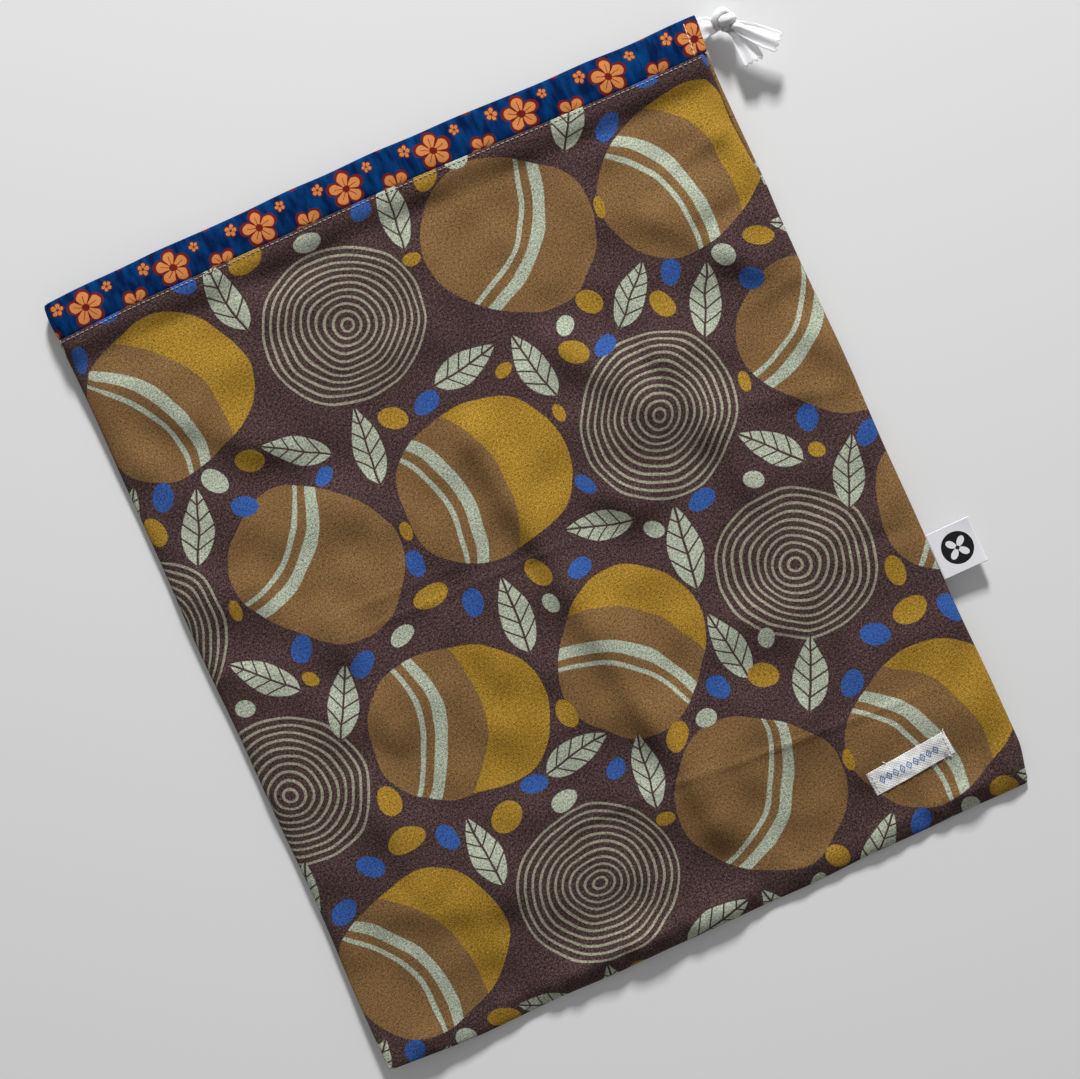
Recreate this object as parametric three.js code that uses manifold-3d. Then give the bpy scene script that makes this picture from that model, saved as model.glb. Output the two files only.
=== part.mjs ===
// A flat cloth drawstring bag lying on its back, in millimetres.
// X runs along the casing towards the knot, Y from the bottom seam to the mouth, Z up from the table.

import * as THREE from 'three';
import { mergeVertices } from 'three/addons/utils/BufferGeometryUtils.js';
import Module from 'manifold-3d';

const { degToRad, lerp, smoothstep } = THREE.MathUtils;
const wasm = await Module();
wasm.setup();

// Sizes of the body
const bagWidth = 300;
const bodyHeight = 335.5;
const panelCloth = 0.5;
const seamAllowance = 8;
const cornerRadius = 7;
const edgeRoll = 12;
const frontLoft = 3.2;

// Folds that the front cloth lies in: both ends as x and height up the bag, then the crest's rise
const foldSteepSide = 6;
const foldGentleSide = 12;
const frontFolds = [
  { from: [-7, 226], to: [21, 30], rise: 4.5 },
  { from: [41, 252], to: [67, 206], rise: 2.8 },
  { from: [79, 226], to: [92, 156], rise: 2.8 },
  { from: [98, 284], to: [138, 238], rise: 2.8 },
  { from: [-115, 283], to: [-78, 252], rise: 2.2 },
  { from: [-93, 184], to: [-89, 126], rise: 2.1 },
  { from: [-108, 120], to: [-104, 62], rise: 2.1 },
  { from: [-136, 68], to: [-72, 44], rise: 1.8 },
  { from: [28, 190], to: [48, 168], rise: 1.7 },
  { from: [60, 118], to: [86, 98], rise: 1.5 },
];

// Sizes of the casing round the mouth
const casingHeight = 16.5;
const casingCloth = 0.35;
const casingRootRise = 2.5;
const casingEndHem = 7;
const mouthGap = 4.6;

// Sizes of the tape that draws the mouth shut
const tapeWidth = 9.5;
const tapeThickness = 0.8;
const tapeBelowFold = 1.8;
const tapeExit = 0.6;
const tailFlare = 9;
const tailNeck = 3.4;
const pinkingDepth = 1.5;
const pinkingTeeth = 4;
const knotCoreRadius = 2.2;
const knotWrapRadius = 3.2;
const knotWrapThickness = 3.8;
const knotWrapWidth = 4.8;

// Sizes of the two labels
const sideLabelWidth = 20.4;
const sideLabelReach = 18.5;
const sideLabelAboveBottom = 102;
const ribbonCloth = 0.35;
const ribbonLoop = 0.8;
const frontLabelLength = 37;
const frontLabelHeight = 10.5;
const frontLabelThickness = 0.6;
const frontLabelFromSide = 46.4;
const frontLabelAboveBottom = 27.3;
const frontLabelTilt = degToRad(5);

// Gap that touching pieces keep
const clearance = 0.3;

// Heights that stack up through the mouth, outwards from the seam plane
const tubeHalf = tapeThickness / 2 + clearance + casingCloth;
const runOffset = mouthGap / 2 + tubeHalf;
const mouthHem = 2 * panelCloth;
const mouthHalf = runOffset + casingCloth + clearance + mouthHem;
const seamZ = mouthHalf;

// Places along the bag, which is centred on the origin
const sideX = bagWidth / 2;
const bottomY = -(bodyHeight + casingHeight) / 2;
const mouthY = bottomY + bodyHeight;
const tapeY = mouthY + casingHeight - tapeBelowFold - tapeWidth / 2;
const bendX = -sideX + mouthHalf;

// Colours of the cloths
const cloths = {
  canvas: new THREE.MeshStandardMaterial({ color: 0x5a4640, roughness: 0.95, metalness: 0 }),
  casing: new THREE.MeshStandardMaterial({ color: 0x12507f, roughness: 0.95, metalness: 0 }),
  tape: new THREE.MeshStandardMaterial({ color: 0xf2f1f0, roughness: 0.95, metalness: 0 }),
  ribbon: new THREE.MeshStandardMaterial({ color: 0xefece6, roughness: 0.9, metalness: 0 }),
};

// A closed geometry from points and triangles, turned outwards if its volume is negative
function closedGeometry(points, triangles) {
  let volume = 0;
  for (const [a, b, c] of triangles) {
    volume += points[a].dot(new THREE.Vector3().crossVectors(points[b], points[c]));
  }
  const faces = volume < 0 ? triangles.map(([a, b, c]) => [a, c, b]) : triangles;
  const geometry = new THREE.BufferGeometry().setFromPoints(points);
  geometry.setIndex(faces.flat());
  return geometry;
}

function toManifold(geometry) {
  const bare = geometry.clone();
  bare.deleteAttribute('normal');
  bare.deleteAttribute('uv');
  const welded = mergeVertices(bare, 1e-4);
  return new wasm.Manifold(new wasm.Mesh({
    numProp: 3,
    vertProperties: new Float32Array(welded.attributes.position.array),
    triVerts: new Uint32Array(welded.index.array),
  }));
}

function fromManifold(solid) {
  const mesh = solid.getMesh();
  const geometry = new THREE.BufferGeometry();
  geometry.setAttribute('position', new THREE.BufferAttribute(mesh.vertProperties, 3));
  geometry.setIndex(new THREE.BufferAttribute(mesh.triVerts, 1));
  return geometry;
}

function steps(count) {
  return Array.from({ length: count + 1 }, (unused, i) => i / count);
}

// Closed sweep of a section through stations that place its points, with an optional bore
function sweep(stations, place, outerAt, bore) {
  const points = [];
  const triangles = [];
  const addSkin = (loopAt) => {
    const first = points.length;
    const size = loopAt(stations[0]).length;
    for (const station of stations) {
      for (const corner of loopAt(station)) {
        points.push(place(station, corner));
      }
    }
    for (let i = 0; i + 1 < stations.length; i += 1) {
      for (let k = 0; k < size; k += 1) {
        const here = first + i * size + k;
        const next = first + i * size + (k + 1) % size;
        triangles.push([here, next, next + size], [here, next + size, here + size]);
      }
    }
    return { first, last: first + (stations.length - 1) * size, size };
  };
  const outer = addSkin(outerAt);
  const outerCount = triangles.length;
  const inner = bore ? addSkin(() => bore) : null;
  for (let i = outerCount; i < triangles.length; i += 1) {
    triangles[i].reverse();
  }
  const cap = (station, end, turned) => {
    const holes = inner ? [bore] : [];
    const faces = THREE.ShapeUtils.triangulateShape(outerAt(station), holes);
    const index = (k) => (k < outer.size ? outer[end] + k : inner[end] + k - outer.size);
    for (const [a, b, c] of faces) {
      const face = [index(a), index(b), index(c)];
      triangles.push(turned ? face.reverse() : face);
    }
  };
  cap(stations[0], 'first', true);
  cap(stations.at(-1), 'last', false);
  return closedGeometry(points, triangles);
}

// Half the body's width at a distance up from the bottom seam, with its rounded corners
function halfWidthAt(up) {
  if (up >= cornerRadius) {
    return sideX;
  }
  const rest = cornerRadius - up;
  return sideX - cornerRadius + Math.sqrt(cornerRadius ** 2 - rest ** 2);
}

// Share of the way from the body's loft to the mouth's, level again where the casing is sewn in
function mouthShare(up) {
  const level = bodyHeight - 2 * seamAllowance;
  return smoothstep(up, level - edgeRoll, level);
}

// Height of one fold over a place, from its ends, steep on one flank and gentle on the other
function foldHeight({ from, to, rise }, x, up) {
  const start = new THREE.Vector2(...from);
  const way = new THREE.Vector2(...to).sub(start);
  const length = way.length();
  const place = new THREE.Vector2(x, up).sub(start);
  const along = place.dot(way) / length;
  const across = way.cross(place) / length;
  const flank = across < 0 ? foldSteepSide : foldGentleSide;
  const fade = smoothstep(along, -foldSteepSide, foldGentleSide)
    * smoothstep(length - along, -foldSteepSide, foldGentleSide);
  return rise * fade * Math.exp(-((across / flank) ** 2));
}

// Rise of the front cloth's folds, which die away where the mouth is sewn level
function frontFoldAt(up, x) {
  const level = bodyHeight - 2 * seamAllowance;
  const free = 1 - smoothstep(up, level - 3 * foldGentleSide, level);
  return free * Math.max(...frontFolds.map((fold) => foldHeight(fold, x, up)));
}

function frontHeightAt(up, x) {
  return lerp(frontLoft, mouthHalf, mouthShare(up)) - clearance / 2 + frontFoldAt(up, x);
}

function backHeightAt() {
  return mouthHalf - clearance / 2;
}

// One panel: a sheet whose edges roll over to the seam plane on three sides, side is 1 front, -1 back
function panelShell(side, heightAt, rowCount, columnCount) {
  const roll = steps(6).map((share) => share * Math.PI / 2);
  const straight = steps(columnCount).slice(1, -1);
  const hemStart = bodyHeight - seamAllowance;
  const rows = [
    ...roll.map((angle) => ({ angle })),
    ...steps(rowCount).slice(1).map((share) => ({ up: lerp(edgeRoll, hemStart - panelCloth, share) })),
    { up: hemStart },
    { up: bodyHeight },
  ];
  const columns = [
    ...roll.map((angle) => ({ angle, edge: -1 })),
    ...straight.map((share) => ({ share })),
    ...roll.slice().reverse().map((angle) => ({ angle, edge: 1 })),
  ];
  const inFrom = (angle, inset, length) => inset + (length - inset) * (1 - Math.cos(angle));
  const surfacePoint = (row, column, isInner) => {
    const hemmed = row.up !== undefined && row.up >= hemStart;
    const thickness = hemmed ? mouthHem : panelCloth;
    const wall = isInner ? thickness : 0;
    const up = row.up ?? inFrom(row.angle, wall, edgeRoll);
    const rowRise = row.up === undefined ? Math.sin(row.angle) : 1;
    const sideRoll = lerp(edgeRoll, mouthHalf, mouthShare(up));
    const halfWidth = halfWidthAt(up);
    const flat = halfWidth - sideRoll;
    const x = column.edge === undefined
      ? lerp(-flat, flat, column.share)
      : column.edge * (halfWidth - inFrom(column.angle, wall, sideRoll));
    const columnRise = column.edge === undefined ? 1 : Math.sin(column.angle);
    const lift = (heightAt(up, x) - wall) * rowRise * columnRise;
    return new THREE.Vector3(x, bottomY + up, seamZ + side * (clearance / 2 + lift));
  };
  const points = [];
  for (const isInner of [false, true]) {
    for (const row of rows) {
      for (const column of columns) {
        points.push(surfacePoint(row, column, isInner));
      }
    }
  }
  const width = columns.length;
  const layer = rows.length * width;
  const triangles = [];
  for (let r = 0; r + 1 < rows.length; r += 1) {
    for (let c = 0; c + 1 < width; c += 1) {
      const a = r * width + c;
      const b = a + 1;
      const d = a + width;
      const e = d + 1;
      triangles.push([a, b, e], [a, e, d]);
      triangles.push([layer + a, layer + e, layer + b], [layer + a, layer + d, layer + e]);
    }
  }
  const rim = [];
  const last = (rows.length - 1) * width;
  for (let c = 0; c < width - 1; c += 1) {
    rim.push(c);
  }
  for (let r = 0; r < rows.length - 1; r += 1) {
    rim.push(r * width + width - 1);
  }
  for (let c = width - 1; c > 0; c -= 1) {
    rim.push(last + c);
  }
  for (let r = rows.length - 1; r > 0; r -= 1) {
    rim.push(r * width);
  }
  rim.forEach((a, i) => {
    const b = rim[(i + 1) % rim.length];
    triangles.push([b, a, layer + a], [b, layer + a, layer + b]);
  });
  return closedGeometry(points, triangles);
}

// Seam allowance turned into the bag along both sides and the bottom
function turnedAllowance(side) {
  const inset = panelCloth / 2;
  const outerX = sideX - inset;
  const innerX = sideX - seamAllowance;
  const topY = mouthY - 2 * seamAllowance;
  const low = bottomY + inset;
  const radius = cornerRadius - inset;
  const shape = new THREE.Shape();
  shape.moveTo(-outerX, topY);
  shape.lineTo(-outerX, low + radius);
  shape.absarc(-outerX + radius, low + radius, radius, Math.PI, 1.5 * Math.PI, false);
  shape.absarc(outerX - radius, low + radius, radius, 1.5 * Math.PI, 2 * Math.PI, false);
  shape.lineTo(outerX, topY);
  shape.lineTo(innerX, topY);
  shape.lineTo(innerX, bottomY + seamAllowance);
  shape.lineTo(-innerX, bottomY + seamAllowance);
  shape.lineTo(-innerX, topY);
  const plate = new THREE.ExtrudeGeometry(shape, {
    depth: panelCloth, bevelEnabled: false, curveSegments: 5,
  });
  const plateZ = side > 0 ? clearance / 2 : -clearance / 2 - panelCloth;
  return plate.translate(0, 0, seamZ + plateZ);
}

function panel(side, heightAt, rowCount, columnCount) {
  const shell = toManifold(panelShell(side, heightAt, rowCount, columnCount));
  return fromManifold(shell.add(toManifold(turnedAllowance(side))));
}

// Section of the casing, as offsets out from its run and up from the sewn edge
function casingOuter(extra) {
  const half = tubeHalf + extra;
  const foldV = casingHeight - tubeHalf;
  const fold = [45, 90, 135].map((degrees) => {
    const angle = degToRad(degrees);
    return new THREE.Vector2(half * Math.cos(angle), foldV + tubeHalf * Math.sin(angle));
  });
  return [
    new THREE.Vector2(-casingCloth, -seamAllowance),
    new THREE.Vector2(casingCloth, -seamAllowance),
    new THREE.Vector2(casingCloth, 0),
    new THREE.Vector2(half, casingRootRise),
    new THREE.Vector2(half, foldV),
    ...fold,
    new THREE.Vector2(-half, foldV),
    new THREE.Vector2(-half, casingRootRise),
    new THREE.Vector2(-casingCloth, 0),
  ];
}

function casingBore() {
  const half = tubeHalf - casingCloth;
  const foldV = casingHeight - tubeHalf;
  const fold = [45, 90, 135].map((degrees) => {
    const angle = degToRad(degrees);
    return new THREE.Vector2(half * Math.cos(angle), foldV + half * Math.sin(angle));
  });
  return [
    new THREE.Vector2(0, casingRootRise / 2),
    new THREE.Vector2(half, casingRootRise),
    new THREE.Vector2(half, foldV),
    ...fold,
    new THREE.Vector2(-half, foldV),
    new THREE.Vector2(-half, casingRootRise),
  ];
}

// Stations round the far end of the mouth, from the front run to the back run
function bendStations(count) {
  return steps(count).map((share) => {
    const angle = Math.PI / 2 + share * Math.PI;
    return { x: bendX, outX: Math.cos(angle), outZ: Math.sin(angle), extra: 0 };
  });
}

function placeRoundMouth(station, corner) {
  const reach = runOffset + corner.x;
  return new THREE.Vector3(
    station.x + station.outX * reach,
    mouthY + corner.y,
    seamZ + station.outZ * reach,
  );
}

// Casing: a folded strip round the mouth, open at its two hemmed ends, its allowance inside the body
function casing() {
  const runEnds = [
    { x: sideX, extra: casingCloth },
    { x: sideX - casingEndHem, extra: casingCloth },
    { x: sideX - casingEndHem - casingCloth, extra: 0 },
  ];
  const stations = [
    ...runEnds.map((end) => ({ ...end, outX: 0, outZ: 1 })),
    ...bendStations(8),
    ...runEnds.slice().reverse().map((end) => ({ ...end, outX: 0, outZ: -1 })),
  ];
  const tube = sweep(stations, placeRoundMouth, (station) => casingOuter(station.extra), casingBore());
  const trimLength = 2 * mouthHalf;
  const trimHeight = 2 * seamAllowance;
  const trim = new THREE.BoxGeometry(trimLength, trimHeight, 4 * mouthHalf);
  trim.translate(sideX - mouthHalf + trimLength / 2, mouthY + clearance - trimHeight / 2, seamZ);
  return fromManifold(toManifold(tube).subtract(toManifold(trim)));
}

// Straight run of tape through the front or the back of the casing
function tapeRun(side) {
  const start = bendX + clearance;
  const end = sideX + tapeExit;
  const run = new THREE.BoxGeometry(end - start, tapeWidth, tapeThickness);
  return run.translate((start + end) / 2, tapeY, seamZ + side * runOffset);
}

// Bend of the tape inside the far end of the casing
function tapeBend() {
  const half = tapeThickness / 2;
  const low = tapeY - tapeWidth / 2 - mouthY;
  const section = [
    new THREE.Vector2(-half, low),
    new THREE.Vector2(half, low),
    new THREE.Vector2(half, low + tapeWidth),
    new THREE.Vector2(-half, low + tapeWidth),
  ];
  return sweep(bendStations(10), placeRoundMouth, () => section, null);
}

// Tape along a hand-chosen route in a plane across the bag, narrowing towards the knot
function tapeLead(route, knotWidth) {
  const curve = new THREE.CatmullRomCurve3(route);
  const stations = steps(6).map((share) => ({
    at: curve.getPoint(share),
    up: new THREE.Vector3().crossVectors(curve.getTangent(share), new THREE.Vector3(0, -1, 0)).normalize(),
    half: lerp(tapeWidth, knotWidth, share) / 2,
  }));
  const sectionAt = (station) => [
    new THREE.Vector2(-station.half, -tapeThickness / 2),
    new THREE.Vector2(station.half, -tapeThickness / 2),
    new THREE.Vector2(station.half, tapeThickness / 2),
    new THREE.Vector2(-station.half, tapeThickness / 2),
  ];
  const place = (station, corner) => station.at.clone()
    .add(new THREE.Vector3(0, corner.x, 0))
    .addScaledVector(station.up, corner.y);
  return sweep(stations, place, sectionAt, null);
}

// Tail of the tape from the knot to its pinked end
function tapeTail(from, to) {
  const way = to.clone().sub(from);
  const length = way.length();
  const half = tapeWidth / 2;
  const shape = new THREE.Shape();
  shape.moveTo(0, -tailNeck / 2);
  shape.quadraticCurveTo(tailFlare / 2, -tailNeck / 2, tailFlare, -half);
  const tooth = tapeWidth / pinkingTeeth;
  for (let i = 0; i < pinkingTeeth; i += 1) {
    shape.lineTo(length, -half + i * tooth);
    shape.lineTo(length - pinkingDepth, -half + (i + 0.5) * tooth);
  }
  shape.lineTo(length, half);
  shape.lineTo(tailFlare, half);
  shape.quadraticCurveTo(tailFlare / 2, tailNeck / 2, 0, tailNeck / 2);
  const strip = new THREE.ExtrudeGeometry(shape, {
    depth: tapeThickness, bevelEnabled: false, curveSegments: 5,
  });
  strip.translate(0, 0, -tapeThickness / 2);
  const ahead = way.clone().normalize();
  const across = new THREE.Vector3().crossVectors(new THREE.Vector3(0, 0, 1), ahead).normalize();
  const above = new THREE.Vector3().crossVectors(ahead, across);
  strip.applyMatrix4(new THREE.Matrix4().makeBasis(ahead, across, above).setPosition(from));
  return strip;
}

// Overhand knot: the two tapes bunched into a core, with their turn wrapped round it
function knot(coreRoute, centre, wrapAxis) {
  const circle = new THREE.Shape().absarc(0, 0, knotCoreRadius, 0, 2 * Math.PI, false);
  const core = new THREE.ExtrudeGeometry(circle, {
    steps: 8, curveSegments: 10, bevelEnabled: false, extrudePath: new THREE.CatmullRomCurve3(coreRoute),
  });
  const wrap = new THREE.TorusGeometry(knotWrapRadius, knotWrapThickness / 2, 8, 20);
  wrap.scale(1, 1, knotWrapWidth / knotWrapThickness);
  const turn = new THREE.Quaternion().setFromUnitVectors(new THREE.Vector3(0, 0, 1), wrapAxis.normalize());
  wrap.applyQuaternion(turn);
  wrap.translate(centre.x, centre.y, centre.z);
  return fromManifold(toManifold(core).add(toManifold(wrap)));
}

// Side label: a loop of woven ribbon, open along its middle, caught in the side seam
function sideLabel() {
  const start = sideX + clearance;
  const end = start + sideLabelReach;
  const half = ribbonCloth + ribbonLoop / 2;
  const middle = (start + end) / 2;
  const shape = new THREE.Shape();
  shape.moveTo(start, -ribbonCloth);
  shape.quadraticCurveTo(middle, -half, end - half, -half);
  shape.absarc(end - half, 0, half, -Math.PI / 2, Math.PI / 2, false);
  shape.quadraticCurveTo(middle, half, start, ribbonCloth);
  const loop = new THREE.Path();
  const loopEnd = end - half;
  const loopStart = start + 2 * half;
  loop.moveTo(loopStart, 0);
  loop.quadraticCurveTo(middle, ribbonLoop / 2, loopEnd, ribbonLoop / 2);
  loop.absarc(loopEnd, 0, ribbonLoop / 2, Math.PI / 2, -Math.PI / 2, true);
  loop.quadraticCurveTo(middle, -ribbonLoop / 2, loopStart, 0);
  shape.holes.push(loop);
  const label = new THREE.ExtrudeGeometry(shape, {
    depth: sideLabelWidth, bevelEnabled: false, curveSegments: 6,
  });
  label.rotateX(Math.PI / 2);
  return label.translate(0, bottomY + sideLabelAboveBottom + sideLabelWidth / 2, seamZ);
}

// Front label: a short woven strip sewn flat near the bottom corner
function frontLabel() {
  const halfLength = frontLabelLength / 2;
  const halfHeight = frontLabelHeight / 2;
  const shape = new THREE.Shape();
  shape.moveTo(-halfLength, -halfHeight);
  shape.lineTo(halfLength, -halfHeight);
  shape.lineTo(halfLength, halfHeight);
  shape.lineTo(-halfLength, halfHeight);
  const label = new THREE.ExtrudeGeometry(shape, { depth: frontLabelThickness, bevelEnabled: false });
  label.rotateZ(frontLabelTilt);
  const highest = frontLabelAboveBottom + halfHeight + halfLength * Math.sin(frontLabelTilt);
  const middleX = sideX - frontLabelFromSide;
  const seat = seamZ + clearance / 2 + frontHeightAt(highest, middleX) + clearance;
  return label.translate(middleX, bottomY + frontLabelAboveBottom, seat);
}

// Route of the free tape, as points measured from where its front and back runs leave the casing
const frontExit = new THREE.Vector3(sideX + tapeExit + clearance, tapeY, seamZ + runOffset);
const backExit = new THREE.Vector3(sideX + tapeExit + clearance, tapeY, seamZ - runOffset);
const fromExit = (x, y, z) => frontExit.clone().add(new THREE.Vector3(x, y, z));
const fromBackExit = (x, y, z) => backExit.clone().add(new THREE.Vector3(x, y, z));
const frontRoute = [frontExit, fromExit(0.8, 0, 0), fromExit(4.9, 0.8, 0.5), fromExit(5.7, 0.9, 0.5)];
const backRoute = [
  backExit, fromBackExit(0.8, 0, 0), fromBackExit(3, 0.4, 2.4),
  fromExit(4.9, 0.8, -1.5), fromExit(5.7, 0.9, -1.5),
];
const coreRoute = [fromExit(6.5, 0.9, -0.3), fromExit(9.8, 0.1, -0.1), fromExit(13.2, -4.8, 0.2)];
const knotCentre = fromExit(9.8, -0.4, -0.1);
const wrapAxis = new THREE.Vector3(0.86, -0.5, 0.1);
const upperTail = [fromExit(13.6, -5.3, 1), fromExit(27.8, -19.5, 2.2)];
const lowerTail = [fromExit(13.5, -6, -0.9), fromExit(14.9, -22.6, -0.3)];
const leadKnotWidth = 5.5;

const group = new THREE.Group();

function addPiece(name, geometry, material) {
  const mesh = new THREE.Mesh(geometry, material);
  mesh.name = name;
  group.add(mesh);
}

addPiece('back_panel', panel(-1, backHeightAt, 14, 8), cloths.canvas);
addPiece('front_panel', panel(1, frontHeightAt, 30, 36), cloths.canvas);
addPiece('casing', casing(), cloths.casing);
addPiece('tape_run_front', tapeRun(1), cloths.tape);
addPiece('tape_run_back', tapeRun(-1), cloths.tape);
addPiece('tape_bend', tapeBend(), cloths.tape);
addPiece('tape_lead_front', tapeLead(frontRoute, leadKnotWidth), cloths.tape);
addPiece('tape_lead_back', tapeLead(backRoute, leadKnotWidth), cloths.tape);
addPiece('knot', knot(coreRoute, knotCentre, wrapAxis), cloths.tape);
addPiece('tape_tail_upper', tapeTail(...upperTail), cloths.tape);
addPiece('tape_tail_lower', tapeTail(...lowerTail), cloths.tape);
addPiece('side_label', sideLabel(), cloths.ribbon);
addPiece('front_label', frontLabel(), cloths.ribbon);

export default group;
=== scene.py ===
# %% [markdown]
# # A cloth drawstring bag, lying flat
# The bag is two panels of printed cotton sewn together at the sides and the bottom, a contrasting
# casing round the mouth, and one white tape that runs through the casing and is knotted at its ends.
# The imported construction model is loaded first. It stays fixed, and the bag's sizes are read from it,
# so that the cloth made here lies where the construction says it does. Shapes are worked out in
# millimetres, and only finished points are turned into metres.

# %% Load the construction and read its sizes
import math

import bpy
import numpy as np
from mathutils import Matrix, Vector
from mathutils.bvhtree import BVHTree


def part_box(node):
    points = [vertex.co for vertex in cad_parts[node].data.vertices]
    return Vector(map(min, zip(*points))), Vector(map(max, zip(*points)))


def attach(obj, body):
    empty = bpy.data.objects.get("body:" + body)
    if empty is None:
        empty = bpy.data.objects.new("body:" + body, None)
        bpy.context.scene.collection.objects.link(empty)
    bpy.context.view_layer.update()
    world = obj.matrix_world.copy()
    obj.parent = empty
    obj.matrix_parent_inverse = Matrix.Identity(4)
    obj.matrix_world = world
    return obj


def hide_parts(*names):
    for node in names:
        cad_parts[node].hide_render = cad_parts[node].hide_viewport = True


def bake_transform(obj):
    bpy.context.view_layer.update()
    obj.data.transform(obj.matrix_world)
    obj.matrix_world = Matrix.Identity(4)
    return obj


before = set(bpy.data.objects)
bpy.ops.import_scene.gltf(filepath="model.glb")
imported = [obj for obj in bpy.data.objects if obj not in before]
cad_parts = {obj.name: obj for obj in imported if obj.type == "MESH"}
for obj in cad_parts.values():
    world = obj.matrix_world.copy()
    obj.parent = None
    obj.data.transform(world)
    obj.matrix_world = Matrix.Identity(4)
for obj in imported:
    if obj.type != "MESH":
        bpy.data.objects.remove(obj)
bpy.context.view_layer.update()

MM = 0.001
front_low, front_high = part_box("front_panel")
casing_low, casing_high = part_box("casing")
half_width = front_high.x / MM
bottom, mouth = front_low.y / MM, front_high.y / MM
seam_level = (front_low.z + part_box("back_panel")[1].z) / 2 / MM
casing_top = casing_high.y / MM
print("bag", round(2 * half_width), "mm wide,", round(casing_top - bottom), "mm high")

# %% [markdown]
# ## Camera
# The photograph was taken from straight above, with the bag turned about a quarter of a right angle.
# A long lens high over the table keeps the edges from leaning, so the bag reads as flat as it is.

# %% Camera above the table
BAG_TURN = math.radians(24.45)
FIELD_WIDTH = 454.5 * MM
CAMERA_AIM = (0.5 * MM, 1.95 * MM, 8 * MM)
LENS = 85.0
SENSOR = 36.0


def place_object(name, data):
    """A new object of the scene with that mesh, lamp or camera in it."""
    made = bpy.data.objects.new(name, data)
    bpy.context.scene.collection.objects.link(made)
    return made


camera_data = bpy.data.cameras.new("camera")
camera_data.lens = LENS
camera_data.sensor_width = SENSOR
camera = place_object("camera", camera_data)
camera.location = (CAMERA_AIM[0], CAMERA_AIM[1], CAMERA_AIM[2] + FIELD_WIDTH * LENS / SENSOR)
camera.rotation_euler = (0.0, 0.0, -BAG_TURN)
bpy.context.scene.camera = camera
bpy.context.scene.view_settings.view_transform = "Standard"
print("camera", round(camera.location.z, 3), "m above the table")

# %% [markdown]
# ## Helpers for shapes
# Soft shapes are mostly slow changes from one place to another. A ramp and a hump describe nearly all
# of them. The mouth and the bottom seam of a soft bag are never quite straight, so their bows are
# written down here once, for every piece that follows those edges.

# %% Ramps, humps and the bows of the edges
MOUTH_BOW = 3.2
BOTTOM_BOW = 2.6


def ramp(value, start, end):
    """From 0 at the start to 1 at the end, with no corner at either."""
    share = np.clip((value - start) / (end - start), 0.0, 1.0)
    return share * share * (3.0 - 2.0 * share)


def hump(distance, half_breadth):
    """1 on a line, falling away to nothing on both sides of it."""
    return np.exp(-((distance / half_breadth) ** 2))


def mouth_bow(x):
    """How far the soft mouth edge bows up at a place across the bag; none at the knot."""
    return MOUTH_BOW * (1 - ramp(x, -20, 135)) - 1.0 * ramp(-x, 112, 150)


def bottom_bow(x):
    """How far the bottom seam hangs below its straight line; least at the corners."""
    return BOTTOM_BOW - 1.2 * ramp(x, 20, 130) - 2.5 * ramp(-x, 108, 150)


print("mouth bows up by", MOUTH_BOW, "mm and the bottom seam down by", BOTTOM_BOW, "mm")

# %% [markdown]
# ## Helpers for sheets
# Cloth is easiest to shape as a grid of points: rows one way, columns the other. The grid becomes a
# mesh, and a map called "cloth" keeps each point's place on the flat cloth in metres, so that a print
# or a weave laid on that map keeps its true size however the cloth bends.

# %% Helpers that turn grids of points into pieces


def grid_faces(rows, columns, ring=False, flip=False):
    """Four-sided faces between the points of a grid, closed round each row if it is a ring."""
    ids = np.arange(rows * columns).reshape(rows, columns)
    if ring:
        ids = np.hstack([ids, ids[:, :1]])
    corners = [ids[:-1, :-1], ids[:-1, 1:], ids[1:, 1:], ids[1:, :-1]]
    return np.stack(corners[::-1] if flip else corners, -1).reshape(-1, 4).tolist()


def new_piece(name, points, faces, finish, cloth=None):
    """A smooth mesh object in its finish, with the flat cloth's own map where one is given."""
    mesh = bpy.data.meshes.new(name)
    mesh.from_pydata(np.reshape(points, (-1, 3)).tolist(), [], faces)
    if cloth is not None:
        layer = mesh.uv_layers.new(name="cloth")
        corner = np.empty(len(mesh.loops), np.int32)
        mesh.loops.foreach_get("vertex_index", corner)
        layer.data.foreach_set("uv", np.reshape(cloth, (-1, 2))[corner].astype(np.float32).ravel())
    mesh.shade_smooth()
    mesh.materials.append(finish)
    return place_object(name, mesh)


def new_sheet(name, points, cloth, finish, thickness, flip=False):
    """A piece of cloth from its grid, with its thickness in millimetres to the inside of its faces."""
    piece = new_piece(name, points, grid_faces(*points.shape[:2], flip=flip), finish, cloth)
    solid = piece.modifiers.new("cloth thickness", "SOLIDIFY")
    solid.thickness = thickness * MM
    solid.offset = -1.0
    graph = bpy.context.evaluated_depsgraph_get()
    mesh = bpy.data.meshes.new_from_object(piece.evaluated_get(graph))
    piece.modifiers.clear()
    piece.data = mesh
    return piece


# %% Helpers that measure along cloth


def cloth_map(across, along):
    """Places on the flat cloth for every point of a grid."""
    return np.stack(np.broadcast_arrays(across, along), -1)


def edge_spaced(low, high, count):
    """Places between two edges, closer together near each, so that the edges shade crisply."""
    return low + (high - low) * (1 + np.sin(np.linspace(-math.pi / 2, math.pi / 2, count))) / 2


def travelled(points):
    """Distance along a line of points, from its first point."""
    steps = np.linalg.norm(np.diff(points, axis=0), axis=1)
    return np.concatenate([[0.0], np.cumsum(steps)])


def in_mm(sizes):
    """Sizes in metres as rounded millimetres, for printing."""
    return [round(size / MM, 1) for size in sizes]


# %% [markdown]
# ## Helpers for node materials
# Every finish is built from nodes. A Wire stands for one node's result: adding or multiplying wires
# adds the Math nodes, so that a recipe reads as it would on paper. Colours are written as the hex
# codes a dyer's card would carry.

# %% Wires between nodes


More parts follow.
